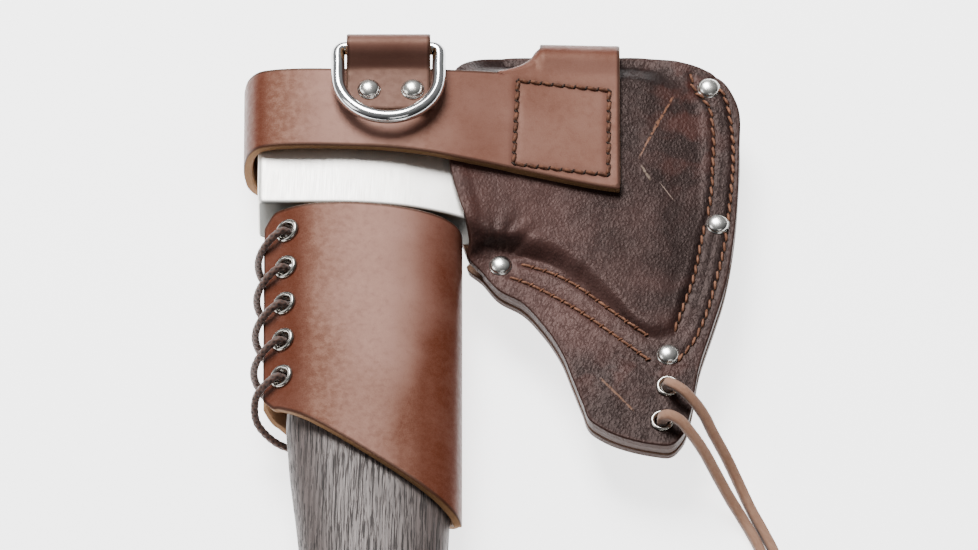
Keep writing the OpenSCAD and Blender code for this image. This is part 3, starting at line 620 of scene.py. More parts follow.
def tube(path, radius, sides, normal=UP, section=None, backward=False, relief=None):
    """A closed tube along the path. section gives the radius's share at each angle, relief adds to it."""
    path = np.asarray(path, float)
    way = -1 if backward else 1
    t, n = carried(path[::way], np.array(normal, float))
    t, n = t[::way] * way, n[::way]
    b = np.cross(t, n)
    angles = circle(sides)
    share = np.ones(sides) if section is None else section(angles)
    r = np.broadcast_to(np.asarray(radius, float), (len(path),))[:, None] * share
    crest = np.zeros_like(r) if relief is None else relief(runs_along(path)[:, None], angles)
    ring = np.cos(angles)[:, None] * n[:, None] + np.sin(angles)[:, None] * b[:, None]
    points = path[:, None] + (r + crest)[..., None] * ring
    side = np.abs(np.sin(angles)) * np.ones((len(path), 1))
    return points.reshape(-1, 3), ring_faces(len(path), sides), {"side": side.ravel(), "crest": crest.ravel()}


def lathe(profile, at, axis=UP, sides=40, closed=False):
    """A turned shape: profile is (radius, height) along the axis, from at."""
    axis = unit(np.array(axis, float))
    x = unit(np.cross(axis, [0.31, 0.95, 0.12]))
    angles = circle(sides)
    ring = np.cos(angles)[:, None] * x + np.sin(angles)[:, None] * np.cross(axis, x)
    points = np.concatenate([np.asarray(at, float) + r * ring + h * axis for r, h in profile])
    return points, ring_faces(len(profile), sides, closed), {}


def oval(x0, x1, half, power, sides):
    c, s = np.cos(circle(sides)), np.sin(circle(sides))
    return np.stack([(x0 + x1) / 2 + (x1 - x0) / 2 * np.sign(c) * np.abs(c) ** (2 / power),
                     half * np.sign(s) * np.abs(s) ** (2 / power)], axis=1)


def levels(ovals):
    """A solid through ovals, each given with its Y."""
    points = [[x, y, z] for y, ring in ovals for x, z in ring]
    return np.array(points), ring_faces(len(ovals), len(ovals[0][1])), {}


# ---- The thong: two free strands, their coil, knots and tie ----

LYING = FLOOR_Z + 2.6
UPPER = [
    [143.3, -70.9, 4], [143.5, -71.4, 7.4], [145.2, -73.6, 10], [148.4, -76.2, 10.6],
    [151.6, -78.8, 8.8], [155.2, -81.9, 4.8], [159.2, -87.2, -1.2], [163.4, -92.3, -7.4],
    [167.8, -99.6, -13.2], [172.4, -109, LYING + 1], [177.2, -118.6, LYING], [181, -128, LYING],
    [182.6, -138, LYING], [181.6, -149, LYING], [179, -160, LYING], [177, -172, LYING],
]
LOWER = [
    [141.2, -85, 4], [141.6, -85.2, 7.4], [143.8, -86, 9.8], [147.2, -87.8, 9.6],
    [150.6, -90.6, 6.8], [156, -95.4, 0], [160.4, -100.8, -6.6], [164.8, -106.4, -12.4],
    [169.6, -113, LYING + 1], [173.8, -121, LYING], [177, -129.6, LYING], [178.4, -138.4, LYING],
    [177.4, -148.6, LYING], [174.8, -160, LYING], [172.8, -172, LYING],
]
BRIDGE = [
    [143.3, -70.9, 4], [143.3, -70.9, -1], [143.3, -70.9, -4.6], [143.2, -72.2, -6.8], [142.8, -74.6, -7.4],
    [142.2, -78, -7.4], [141.7, -81.4, -7.4], [141.3, -83.8, -6.8], [141.2, -85, -4.6], [141.2, -85, -1],
    [141.2, -85, 4],
]
COIL_AT = np.array([150.0, -172.0, LYING])
COIL_PITCH = 8.4
KNOTS = [(-11.5, 7.5), (0.0, -10.5)]


def spiral(radius, turns, knot):
    """The coiled end of a strand, which runs clockwise and inward, then into its knot."""
    angles = arc(24, turns * 360, 24)
    r = radius - COIL_PITCH * angles / (2 * math.pi)
    line = [COIL_AT + [q * math.cos(a), -q * math.sin(a), 0] for q, a in zip(r, angles)]
    return [list(p) for p in line] + [list(COIL_AT + [*knot, 0.8])]


def square(angles):
    return (np.abs(np.cos(angles)) ** 4.5 + np.abs(np.sin(angles)) ** 4.5) ** (-1 / 4.5)


def thong_piece(name, part, nodes, **settings):
    points, faces, values = part
    # skin marks the thong's two sides, which the material paints darker as shade.
    skin = {"skin": step(values["side"], 0.62, 0.82)}
    return piece(name, (points, faces, skin), THONG, nodes, **settings)


def strand(name, route, nodes):
    path = spaced(smooth(route, 8), 0.9)
    points, faces, values = tube(path, 1.84, 16, UP, square, backward=True)
    points = points + np.array([[0.09 * wobble(p, 0.8), 0.09 * wobble(p, 0.8, 7), 0.07 * wobble(p, 0.8, 3)]
                                for p in points])
    return thong_piece(name, (points, faces, values), nodes), path


def knot(name, spot, angle, nodes=()):
    """An overhand knot with a short cut end."""
    t = np.linspace(0, 2 * math.pi, 90, endpoint=False)
    loop = np.stack([np.sin(t) + 2 * np.sin(2 * t), np.cos(t) - 2 * np.cos(2 * t), -np.sin(3 * t)], axis=1)
    c, s = math.cos(angle), math.sin(angle)
    loop = (loop * [0.82, 0.82, 1.0]) @ np.array([[c, s, 0], [-s, c, 0], [0, 0, 1]])
    centre = COIL_AT + [*spot, 1.0]
    body = tube(np.concatenate([loop, loop[:2]]) + centre, 1.55, 12, UP, square)
    away = unit(np.array([math.cos(angle + 2.2), math.sin(angle + 2.2), 0.1]))
    tail = tube([centre + away * d + [0, 0, -0.5] for d in np.linspace(1.2, 6.4, 8)], 1.6, 12, UP, square)
    return thong_piece(name, join([body, tail]), nodes, sharp=50)


knot_a = knot("thong_knot_upper", KNOTS[0], 0.5, ("lace_knots",))
knot_b = knot("thong_knot_lower", KNOTS[1], 2.4)


def tie_band():
    """Five wraps of thin cord round the coil's west side, with a small knot on top."""
    half_w, half_h, corner, r = 6.7, 2.35, 1.3, 0.32
    centre = COIL_AT + [-18.6, 0, 0]
    turn = [[sx * (half_w - corner) + corner * math.cos(a), 0, sz * (half_h - corner) + corner * math.sin(a)]
            for sx, sz, start in ((1, 1, 0), (-1, 1, 90), (-1, -1, 180), (1, -1, 270))
            for a in arc(start, start + 91, 15)]
    wraps = [centre + np.array(p) + [0, -1.6 + 0.66 * (k + i / len(turn)), 0]
             for k in range(5) for i, p in enumerate(turn)]
    parts = [tube(spaced(wraps, 0.5), r, 8, (0, 1, 0))]
    for s in (1, -1):
        ends = [centre + [2, -0.6, 2.6], centre + [2.6 * s, 1.2 * s, 3.3], centre + [3.6 * s, 2.6 * s, 2.7]]
        parts.append(tube(smooth(ends, 6), r, 8))
    points, faces, _ = join(parts)
    # crest in stripes along X, so the cord is painted with light and dark bands as strand highlight and
    # shade.
    crest = {"crest": 0.6 + 0.4 * np.sin(points[:, 0] * 3)}
    return piece("thong_tie", (points, faces, crest), BRAID, ("lace_tie",))


tie = tie_band()
upper, upper_path = strand("thong_upper_strand", UPPER + spiral(27, 1.55, KNOTS[0]),
                           ("lace_upper_strand", "lace_coil"))
lower, lower_path = strand("thong_lower_strand", LOWER + spiral(22.8, 1.2, KNOTS[1]), ("lace_lower_strand",))

bridge = tube(spaced(smooth(BRIDGE, 8), 0.9), 1.74, 16, (1, 0, 0), square)
thong_piece("thong_bridge", bridge, ("lace_bridge",))


# ---- Head ----

POLL_H = 48.0
CHEEK = np.array([
    [0, 11.1], [0.9, 12], [32, 12], [50, 11.4], [66, 9.9], [80, 7.8], [100, 5.4], [120, 3.8], [140, 2.4],
    [150, 1.1], [158, 0.1],
])
BEARD = [
    [30, 0], [46, -0.6], [60, -2.2], [72, -4.6], [86, -9], [100, -15], [115, -23], [130, -34.5], [140, -46],
]
TOE, HEEL, EDGE_R = np.array([149.5, 54.5]), np.array([140.0, -46.0]), 128.0
EYE_X, EYE_HALF = (14.0, 62.0), 8.4


def cheek(x):
    """Half the head's thickness, with the corners between its flats eased."""
    return sum(np.interp(np.asarray(x, float) + d, CHEEK[:, 0], CHEEK[:, 1]) for d in (-4, -2, 0, 2, 4)) / 5


def edge_centre():
    """Centre of the cutting edge's arc, which runs from the heel to the toe."""
    chord = TOE - HEEL
    side = np.array([chord[1], -chord[0]]) / np.linalg.norm(chord)
    sag = EDGE_R - math.sqrt(EDGE_R**2 - chord @ chord / 4)
    return (TOE + HEEL) / 2 + side * (sag - EDGE_R)


def head_part():
    """Rounded sections across the head, from the poll to the edge."""
    centre = edge_centre()
    beard = smooth([[0, 0], [15, 0]] + BEARD, 8)
    top = smooth([[0, POLL_H], [33, POLL_H + 0.1], [66, POLL_H + 0.4], [120, POLL_H + 2], TOE], 8)
    tip = centre[0] + EDGE_R
    xs = np.concatenate([[0, 0.25, 0.8, 1.8, 3], np.arange(5, 138, 2.0), np.arange(138.5, tip - 0.6, 0.8),
                         [tip - 0.25]])
    points = []
    for x in xs:
        low = np.interp(x, beard[:, 0], beard[:, 1])
        high = np.interp(x, top[:, 0], top[:, 1])
        reach = math.sqrt(max(EDGE_R**2 - (x - centre[0]) ** 2, 0))
        if x > HEEL[0]:
            low = max(low, centre[1] - reach)
        if x > TOE[0]:
            high = min(high, centre[1] + reach)
        h = 12.0 if x < 32 else float(cheek(x))
        ease = {0: 1.5, 0.25: 0.8, 0.8: 0.3}.get(float(x), 0.0)
        h, low, high = h - ease, low + ease, high - ease
        r = min(1.3, 0.45 * h, 0.3 * (high - low))
        corners = ((h - r, low + r), (h - r, high - r), (r - h, high - r), (r - h, low + r))
        turns = [[(cz + r * math.cos(a), cy + r * math.sin(a)) for a in arc(start, start + 91, 22.5)]
                 for start, (cz, cy) in zip((-90, 0, 90, 180), corners)]
        loop = []
        for k, n in enumerate((34, 8, 34, 8)):
            a, b = np.array(turns[k][-1]), np.array(turns[(k + 1) % 4][0])
            loop += turns[k] + [tuple(a + (b - a) * i / n) for i in range(1, n)]
        points += [[x, cy, cz] for cz, cy in loop]
    return np.array(points), ring_faces(len(xs), len(loop)), {}


head = piece("head_forged", outward(head_part()), STEEL, ("axe_head",))
eye_ring = oval(*EYE_X, EYE_HALF, 3, 64)
cutter_points, cutter_faces, _ = outward(levels([(-8, eye_ring), (56, eye_ring)]))
cutter_mesh = bpy.data.meshes.new("eye_cutter")
cutter_mesh.from_pydata(metres(cutter_points).tolist(), [], cutter_faces)
cutter = show("eye_cutter", cutter_mesh)
cut = head.modifiers.new("eye", "BOOLEAN")
cut.operation, cut.solver, cut.object = "DIFFERENCE", "EXACT", cutter
bpy.context.view_layer.update()
bored = bpy.data.meshes.new_from_object(head.evaluated_get(bpy.context.evaluated_depsgraph_get()))
head.modifiers.clear()
head.data = bored
head.data.set_sharp_from_angle(angle=math.radians(40))
bpy.data.objects.remove(cutter)


# ---- Handle, wedge and ring wedge ----

# Y, back, front and half width of the handle's ovals
STATIONS = [
    [-4.5, 14.6, 66.6, 11.5], [-40, 13.8, 67.4, 11.8], [-72, 12.2, 67.4, 12], [-81, 10.6, 67.4, 12],
    [-98, 11.2, 67.4, 12], [-125, 14, 67.4, 12.3], [-152, 17, 65.4, 12.8], [-182, 19.4, 60, 13.4],
    [-212, 19.8, 55.4, 13.9], [-246, 18, 52, 14.2], [-276, 14.6, 50.4, 14.2], [-300, 11.4, 51, 14],
    [-318, 8.4, 53.6, 13.6], [-328, 8, 55, 12.8], [-332.4, 10, 53.6, 10.4], [-334, 14, 50, 7],
]


def handle_part():
    in_eye = [(50.0, 0.7), (49.7, 0.25), (49.2, 0)] + [(y, 0) for y in np.linspace(46, -4.2, 12)]
    ovals = [(y, oval(EYE_X[0] + ease, EYE_X[1] - ease, EYE_HALF - ease, 3, 80)) for y, ease in in_eye]
    ovals += [(y, oval(x0, x1, half, 2.5, 80)) for y, x0, x1, half in smooth(STATIONS, 9)]
    points, faces, _ = levels(ovals)
    points += np.array([[0.12 * wobble(p, 0.07), 0, 0.12 * wobble(p, 0.07, 5)] for p in points])
    return outward((points, faces, {}))


piece("handle_ash", handle_part(), ASH, ("handle",), sharp=50)
wedge = levels([(y, oval(17 - grow * 0.2, 59 + grow * 0.2, max(1.6 + grow, 0.25), 8, 40))
                for y, grow in ((50.2, -0.25), (50.05, 0.0), (46, 0.0), (30, -0.7), (16.5, -1.35))])
piece("eye_wedge_wood", outward(wedge), WEDGE, ("eye_wedge",), sharp=50)
part = lathe([(6, -14), (6, -0.1), (5.75, 0.15), (4.9, 0.15), (4.65, -0.1), (4.65, -14)],
             (27, 50.15, 0), (0, 1, 0), closed=True)
piece("ring_wedge_steel", outward(part), WEDGE_STEEL, ("wedge_ring",), sharp=45)


# ---- Sheath ----

PANEL_T, CHEEK_GAP = 3.0, 1.0
EASE = 0.55
MIDDLE = np.array([118.0, 12.0])
MOUTH = -1
SEAM = 1.5
# X, Y, width of the flat margin, and the inner face's height there (MOUTH: the cheek's)
SHEATH_EDGE = [
    [67.5, 40, 2, MOUTH], [67.3, 15, 2, MOUTH], [70.5, 1, 2, MOUTH], [73.2, -8, 2, MOUTH],
    [74.4, -14, 4, 6.5], [73.6, -18, 8, 3.4],
    [78.5, -24, 12.5, SEAM], [84.5, -31.5, 15.8, SEAM], [92.5, -36.5, 17.5, SEAM],
    [99.6, -45, 22, SEAM], [106.6, -57, 29.5, SEAM], [110.4, -67.5, 38.5, SEAM], [114, -78, 47, SEAM],
    [117, -85.5, 52.5, SEAM], [121, -88.5, 54, SEAM], [138.5, -94.5, 52, SEAM],
    [143.5, -95, 50, SEAM], [147.5, -91.5, 44, SEAM], [150.5, -83, 34, SEAM],
    [154.5, -61, 17, SEAM], [159, -46, 15, SEAM], [163, -32, 13, SEAM], [166.9, -9, 11, SEAM],
    [168.5, 10, 10.6, SEAM], [169, 26, 10.6, SEAM], [168, 46.5, 10.6, SEAM], [164.4, 54, 11, SEAM],
    [156.5, 60.4, 6.6, SEAM], [149, 63.4, 6, SEAM],
    [138, 65.6, 4, 0], [120, 66.1, 4, 0], [97, 66.1, 4, 0], [85, 65.6, 4, 0], [75.5, 62.8, 4, 3.2],
    [69.5, 56, 3, 9.2],
]
WELT_SPAN = (6, 28)
SHEATH_RIVETS = [[158.4, 52.2], [161.2, -4.3], [143.5, -58], [85, -21.4]]
TAIL_EYELETS = [[143.3, -70.9], [141.2, -85]]
EDGE_SEAM = [
    [[152.2, 58.6], [153, 51.8], [157.6, 46.4], [159.8, 34], [159.6, 20], [158.4, 4], [156, -8],
     [152.4, -26.8], [148.9, -38.3], [145.6, -48.5]],
    [[160.2, 56.2], [164.4, 47.4], [166, 38], [166.8, 26], [165.8, 8], [163.8, -11],
     [160.3, -28], [157, -41], [152.8, -51.8], [146.6, -60.8]],
]
BEARD_SEAM = [
    [[136, -50], [128.6, -44], [121, -37.6], [113.9, -31.4], [106.4, -26.2], [99.4, -23], [92, -20.6]],
    [[136.5, -60], [131.8, -56], [124.4, -49.6], [117.4, -43.8], [110.4, -38.4], [103.1, -33.6],
     [94.7, -28.8], [88, -26]],
]
PER_SPAN, RINGS = 12, 62


def room(x):
    return np.maximum(cheek(x) + CHEEK_GAP, SEAM)


outline = [[x, y, margin, float(room(x)) if gap == MOUTH else gap] for x, y, margin, gap in SHEATH_EDGE]
outline = smooth(outline, PER_SPAN, closed=True)
rows = [spaced(smooth(row, 8), 0.6) for row in EDGE_SEAM + BEARD_SEAM]
row_tree = KDTree(sum(len(r) for r in rows))
for row in rows:
    for p in row:
        row_tree.insert((p[0], p[1], 0), 0)
row_tree.balance()


def front_detail(x, y, seam_share):
    """What the worn leather adds to its moulded shape, in millimetres."""
    near = row_tree.find((x, y, 0))[2]
    z = -0.42 * bell(near, 0, 0.95) + 0.12 * bell(near, 2.4, 1.3)
    z += 0.32 * wobble((x, y, 0), 0.055, 3) + 0.14 * wobble((x, y, 0), 0.16, 9)
    # Pulled creases that fan out from the rivet at the mouth
    dx, dy = x - 86, y + 19
    far = math.hypot(dx, dy)
    fan = bell(far, 9, 8) * step(dy + 0.35 * dx, -4, 5)
    z += 0.22 * fan * math.sin(11 * math.atan2(dy, dx) + 0.25 * far)
    # A soft hollow beside the beard seam, and another with a swelling across the tail
    z -= 0.55 * bell(x, 95, 12) * bell(y + 0.42 * (x - 95), -17, 3.2)
    z -= 0.5 * bell(x, 132, 9) * bell(y + 0.45 * (x - 132), -61, 2.2)
    return z + 0.35 * seam_share * bell(x, 126, 8) * bell(y, -72, 7)


def back_detail(x, y, seam_share):
    """As front_detail, for the back: only the seams' grooves and slow waves."""
    return -0.42 * bell(row_tree.find((x, y, 0))[2], 0, 0.95) + 0.3 * wobble((x, y, 5), 0.06, 21)


def panel(side, detail):
    """One panel of the sheath as a middle surface: rings from the outline to the middle."""
    edge = outline[:, :2]
    far = np.linalg.norm(MIDDLE - edge, axis=1)
    inward = (MIDDLE - edge) / far[:, None]
    margin, gap = outline[:, 2], np.maximum(outline[:, 3], 0)
    rise = 4.5 + 5 * step(edge[:, 1], 46, 54) + 3 * step(edge[:, 1], -16, -26) * step(edge[:, 0], 145, 135)
    n = len(edge)
    points = []
    for k in range(RINGS):
        d = EASE + (far - EASE) * (k / RINGS) ** 1.35
        xy = edge + inward * d[:, None]
        share = step((d - margin) / rise, 0, 1)
        z = gap + (room(xy[:, 0]) - gap) * share + PANEL_T / 2
        points += [[x, y, side * (h + detail(x, y, 1 - s))] for (x, y), h, s in zip(xy, z, share)]
    points = np.array(points + [[*MIDDLE, side * (float(room(MIDDLE[0])) + PANEL_T / 2)]])
    last = (RINGS - 1) * n
    faces = ring_faces(RINGS, n)[:-2] + [(last + i, last + (i + 1) % n, RINGS * n) for i in range(n)]
    for centre in TAIL_EYELETS:
        faces = open_hole(points, faces, (*centre, 0), UP, 4.9, 3.65)
    return thicken(points, faces if side > 0 else turned(faces), PANEL_T, EASE)


surfaces = {}
for side, name, node, detail in ((1, "sheath_panel_front", "sheath_front_panel", front_detail),
                                 (-1, "sheath_panel_back", "sheath_back_panel", back_detail)):
    points, faces, values = panel(side, detail)
    x, y = points[:, 0], points[:, 1]
    # Painted light: lighter towards the lower left as painted sheen, darker in the hollow by the mouth rivet
    # as painted shade, and darker across the tail.
    sheen_low_left = step(150 - x + 0.35 * (20 - y), 8, 75) * step(y, 60, -5)
    tone = 0.02 + 0.85 * sheen_low_left - 0.5 * bell(x, 78, 14) * bell(y, -14, 8) - 0.8 * step(y, -48, -66)
    warm = bell(x, 150, 13) * step(y, 0, 30) + 0.7 * bell(y, -66, 9) + 0.5 * bell(x, 72, 7)
    values.update(tone=np.clip(tone, 0, 1), warm=np.clip(warm, 0, 1))
    piece(name, (points, faces, values), SHEATH, (node,))
    surfaces[side] = BVHTree.FromPolygons(points.tolist(), faces)


def welt_part():
    """A flat band between the panels, along the outline's sewn stretch."""
    band = outline[WELT_SPAN[0] * PER_SPAN:WELT_SPAN[1] * PER_SPAN + 1]
    inward = unit(MIDDLE - band[:, :2])
    depths = np.linspace(0, 1, 10)
    points = np.array([[*(p[:2] + way * (0.75 + (p[2] - 0.75) * d)), 0]
                       for p, way in zip(band, inward) for d in depths])
    faces = grid(len(band), len(depths))
    for centre in TAIL_EYELETS:
        reach = reach_from(points, (*centre, 0), UP)[1]
        faces = [f for f in faces if reach[list(f)].mean() > 4.2]
    points, faces, _ = thicken(points, faces, 2 * SEAM, 0.3)
    return outward((points, faces, {}))


piece("sheath_welt_leather", welt_part(), WELT, ("sheath_welt",))


def height_at(surface, side, x, y, missed):
    """Z of the surface seen from the side, or missed off its edge."""
    hit = surface.ray_cast((x, y, side * 40), (0, 0, -side))[0]
    return side * missed if hit is None else hit.z


# ---- Stitches ----

def stitch_tube(a, b, up, r, arch, steps=8):
    """One stitch from hole to hole, sunk at both ends."""
    a, b, up = (np.asarray(v, float) for v in (a, b, up))
    line, sizes = [], []
    for s in np.linspace(0, 1, steps):
        line.append(a + (b - a) * s + up * (arch * math.sin(math.pi * s) ** 0.6 - 0.35 * abs(2 * s - 1) ** 6))
        sizes.append(r * (0.62 + 0.38 * math.sin(math.pi * s) ** 0.5))
    points, faces, _ = tube(line, sizes, 8, up)
    return points, faces, {"hole": np.zeros(len(points))}


def awl_hole_shade(at, along, up, size, wide=0.34):
    """Dark slanted slot that a stitch passes down: a near-black piece laid on the leather as painted shade in
    the awl hole.
    """
    at, up, along = np.array(at), np.array(up), unit(np.array([*along, 0])) * size
    bed = ((-1, -0.3), (-0.5, 0.02), (0.5, 0.02), (1, -0.3))
    line = [at + along * share + up * rise for share, rise in bed]
    points, faces, _ = tube(line, [0.12, wide, wide, 0.12], 8, up)
    return points, faces, {"hole": np.ones(len(points))}


def seam_stitches(seam_rows, pitch, slant, crosses):
    """Stitches and dark slots of painted hole shade along the rows on both panels, with a cross stitch at
    each hole if asked.
    """
    parts = []
    for line in (spaced(smooth(row, 8), pitch) for row in seam_rows):
        for k, (a, b) in enumerate(zip(line, line[1:])):
            along = unit(b - a)
            across = np.array([-along[1], along[0]])
            if min(np.linalg.norm((a + b) / 2 - r) for r in SHEATH_RIVETS) < 4.4:
                continue
            for side in (1, -1):
                up = (0, 0, side)
                s = a + along * 0.05 * pitch - across * slant * side
                e = b - along * 0.05 * pitch + across * slant * side
                jitter = across * 0.12 * wobble((a[0], a[1], side), 0.9, 4)
                s, e = ([*(p + jitter), height_at(surfaces[side], side, *p, 4.5)] for p in (s, e))
                hole = np.array([*a, height_at(surfaces[side], side, *a, 4.5)])
                parts += [stitch_tube(s, e, up, 0.5, 0.4), awl_hole_shade(hole, 0.55 * along + across, up, 0.8)]
                if crosses:
                    half = np.array([*unit(0.45 * along + across * (1 if k % 2 else 0.8)), 0]) * 0.95
                    parts.append(stitch_tube(hole - half, hole + half, up, 0.42, 0.55, 6))
    return join(parts)


piece("edge_seam_stitches", seam_stitches(EDGE_SEAM, 4.1, 0.42, False), SEAM_THREAD,
      ("edge_seam_thread",))
piece("beard_seam_stitches", seam_stitches(BEARD_SEAM, 4.35, 0.1, True), SEAM_THREAD,
      ("beard_seam_thread",))


# ---- Rivets and eyelets ----

def dome(d, h, at, axis, flange=0.5):
    """Rivet cap with a rolled edge."""
    r = d / 2
    profile = [(r - 0.5, -0.2), (r - 0.05, 0.0), (r, 0.22), (r - 0.1, 0.42), (r - 0.35, flange)]
    profile += [((r - 0.4) * math.cos(a), flange + (h - flange) * math.sin(a)) for a in arc(10, 90, 10)]
    return lathe(profile + [(0.12, h)], at, axis)


def eyelet_ring(d, hole, rise, at, axis):
    """Rolled rim of an eyelet, from the leather's face to its throat."""
    outer, inner = d / 2, hole / 2
    middle, half = (outer + inner) / 2, (outer - inner) / 2
    profile = [(middle + half * math.cos(a), rise * math.sin(a)) for a in arc(0, 181, 15)]
    profile += [(inner, -1.6), (inner + 0.35, -1.6), (inner + 0.4, -0.25), (outer - 0.2, -0.25)]
    return lathe(profile, at, axis, closed=True)


def metal_piece(name, parts, look, node, sharp=60, body="hatchet"):
    return piece(name, outward(join(parts)), look, (node,), body, sharp)


parts = []
for x, y in SHEATH_RIVETS:
    for side in (1, -1):
        tilt = np.array([0.04 * wobble((x, y, 0), 1.0), 0.04 * wobble((y, x, 0), 1.0), side])
        parts.append(dome(8.2, 2.4, (x, y, side * 4.42), tilt))
metal_piece("sheath_rivet_caps", parts, NICKEL, "sheath_rivets")

parts = []
for x, y in TAIL_EYELETS:
    parts += [eyelet_ring(8.4, 5.2, 1.0, (x, y, side * 4.5), (0, 0, side)) for side in (1, -1)]
    parts.append(lathe([(2.6, -4), (3.0, -4), (3.0, 4), (2.6, 4)], (x, y, 0), closed=True))
metal_piece("tail_eyelet_rings", parts, EYELET, "tail_eyelets")


# ---- Collar ----

COLLAR_FRONT = [
    [3.4, 5.2], [4.6, 6], [7, 7.4], [10.4, 9.5], [14, 11.4], [19, 12.9], [26, 13.7], [38, 14],
    [50, 13.6], [58, 12.4], [64.4, 10], [68.6, 6],
]
COLLAR_RIGHT = [70.2, 0]
COLUMNS = 56
EYELET_COUNT, EYELET_TOP, EYELET_PITCH, EYELET_TILT = 5, -11.2, 14.8, math.radians(32)


def corner_rise(x, low, high):
    """The flap's rounded corner, from low at its edge to high."""
    return low + (high - low) * math.sin(math.radians(90 * min(max((x - 3.4) / 4.6, 0), 1)))


def collar_bottom(x):
    return corner_rise(x, -78, -83) if x < 8 else -83 - 43 * ((x - 8) / 61.6) ** 1.06


def collar_top(x):
    return corner_rise(x, -7, -1.6) if x < 8 else -1.6 - 5.2 * (max(x - 30, 0) / 39.6) ** 1.6


def eyelet_spot(i, side=1):
    x = 11.2 - 0.4 * i
    z = float(np.interp(x, [p[0] for p in COLLAR_FRONT], [p[1] for p in COLLAR_FRONT]))
    return np.array([x, EYELET_TOP - EYELET_PITCH * i, side * z])


def collar_axis(side):
    return np.array([-math.sin(EYELET_TILT), 0, side * math.cos(EYELET_TILT)])


points = []
collar_path = smooth(COLLAR_FRONT + [COLLAR_RIGHT] + [[x, -z] for x, z in reversed(COLLAR_FRONT)], 8)
for x, z in collar_path:
    low, high = collar_bottom(x) + EASE + 3.2 * float(step(-z, -3, 5)), collar_top(x) - EASE
    for y in low + (high - low) * np.linspace(0, 1, COLUMNS):
        points.append([x, y, z + (0.15 if z > 0 else -0.15) * wobble((x, y, z), 0.04, 12)])
points = np.array(points)
faces = grid(len(collar_path), COLUMNS)
for i in range(EYELET_COUNT):
    for side in (1, -1):
        spot, axis = eyelet_spot(i, side), collar_axis(side)
        reach = reach_from(points, spot, axis)[1]
        points -= np.outer(0.35 * bell(reach, 0, 5.5) * (reach < 9), axis)
        faces = open_hole(points, faces, spot, axis, 5.2, 3.75)
points, faces, values = thicken(points, faces, 3.0, EASE)
x, y, _ = points.T
# Painted light: darker and redder towards the flaps' left edges, on the right side and at the lower right as
# painted shade, which leaves a painted highlight down the middle; also darker towards the bottom.
shade_low_right = step(x, 30, 66) * step(y, -62, -100)
tone = 1 - 0.95 * step(x, 13, 40) + 0.85 * step(x, 46, 66) + 0.9 * shade_low_right + 0.3 * step(y, -40, -80)
values.update(tone=np.clip(tone, 0, 1), dark=0 * x)
piece("collar_leather", outward((points, faces, values)), LEATHER, ("collar",))

for side, way in ((1, "front"), (-1, "back")):
    axis = collar_axis(side)
    parts = []
    for spot in (eyelet_spot(i, side) for i in range(EYELET_COUNT)):
        parts.append(eyelet_ring(9, 5.4, 1.15, spot + axis * 1.45, axis))
        parts.append(eyelet_ring(8.4, 5.4, 0.5, spot - axis * 1.5, -axis))
    metal_piece("collar_eyelet_rings_" + way, parts, EYELET, "collar_eyelets_" + way)

# The lace, from a front eyelet round the flaps' edges to the back one below, and at last behind the handle
LACE_OUT = [
    [0, 0, 0], [0.9, 0, 6.2], [0.8, 0, 8.2], [-0.8, 0.02, 11.2], [-2.6, 0.06, 12.8], [-4.8, 0.16, 12.4],
    [-7.2, 0.27, 10.6], [-9.2, 0.38, 8.0], [-10.6, 0.46, 4],
]
LACE_TURN = LACE_OUT + [[-11, 0.5, 0]] + [[x, 1 - y, -z] for x, y, z in reversed(LACE_OUT[1:])]
LACE_END = [[-10.2, 0.6, 3.4], [-9.4, 0.8, -1.2], [-6, 1.0, -5.4], [-1.4, 1.16, -8.2], [2.6, 1.24, -9.2]]


def lace_spot(i, p):
    at = eyelet_spot(i)
    return [at[0] + p[0], at[1] - p[1] * EYELET_PITCH, p[2] * at[2] / eyelet_spot(0)[2]]


def braided(run, a):
    return 0.17 * np.maximum(np.sin(4 * a + 2.6 * run), np.sin(4 * a - 2.6 * run))


lace_route = [lace_spot(i, p) for i in range(EYELET_COUNT - 1) for p in LACE_TURN]
lace_route += [lace_spot(EYELET_COUNT - 1, p) for p in LACE_OUT[:8] + LACE_END]
points, faces, values = tube(spaced(smooth(lace_route, 8), 0.34), 1.2, 20, (1, 0, 0), relief=braided)
# crest from the braid's relief, which the material turns into painted shade in the grooves and painted
# highlight on the strands.
crest = {"crest": (values["crest"] + 0.17) / 0.34}
piece("collar_lace_braided", (points, faces, crest), BRAID, ("collar_lace",))


# ---- Strap round the poll ----

STRAP_T, STRAP_TOP, STRAP_BOTTOM, STRAP_Z, BEND_X = 3.0, 52.0, 20.0, 16.8, -3.7
STRAP_FACE = STRAP_Z + STRAP_T / 2
ARM_X, ARM_Y = 98.5, 52.3
# X, Z and the lower edge's Y, from the sewn end to the poll's middle
STRAP_FRONT = [
    [126.4, 9.3, 6.4], [123, 9.55, 6.8], [98.5, 11.4, 11.2], [92, 12.1, 12.4], [85, 13.0, 13.6],
    [68.5, 15.7, 16], [61, 16.55, 17.2], [44, STRAP_Z, 19.4], [32, STRAP_Z, 20], [11, STRAP_Z, 20],
    [6, STRAP_Z - 0.5, 20], [0.6, STRAP_Z - 2.2, 20], [-2.1, STRAP_Z - 6, 20], [-3.3, 5.4, 20],
    [-3.68, 1.2, 20], [BEND_X, 0, 20],
]
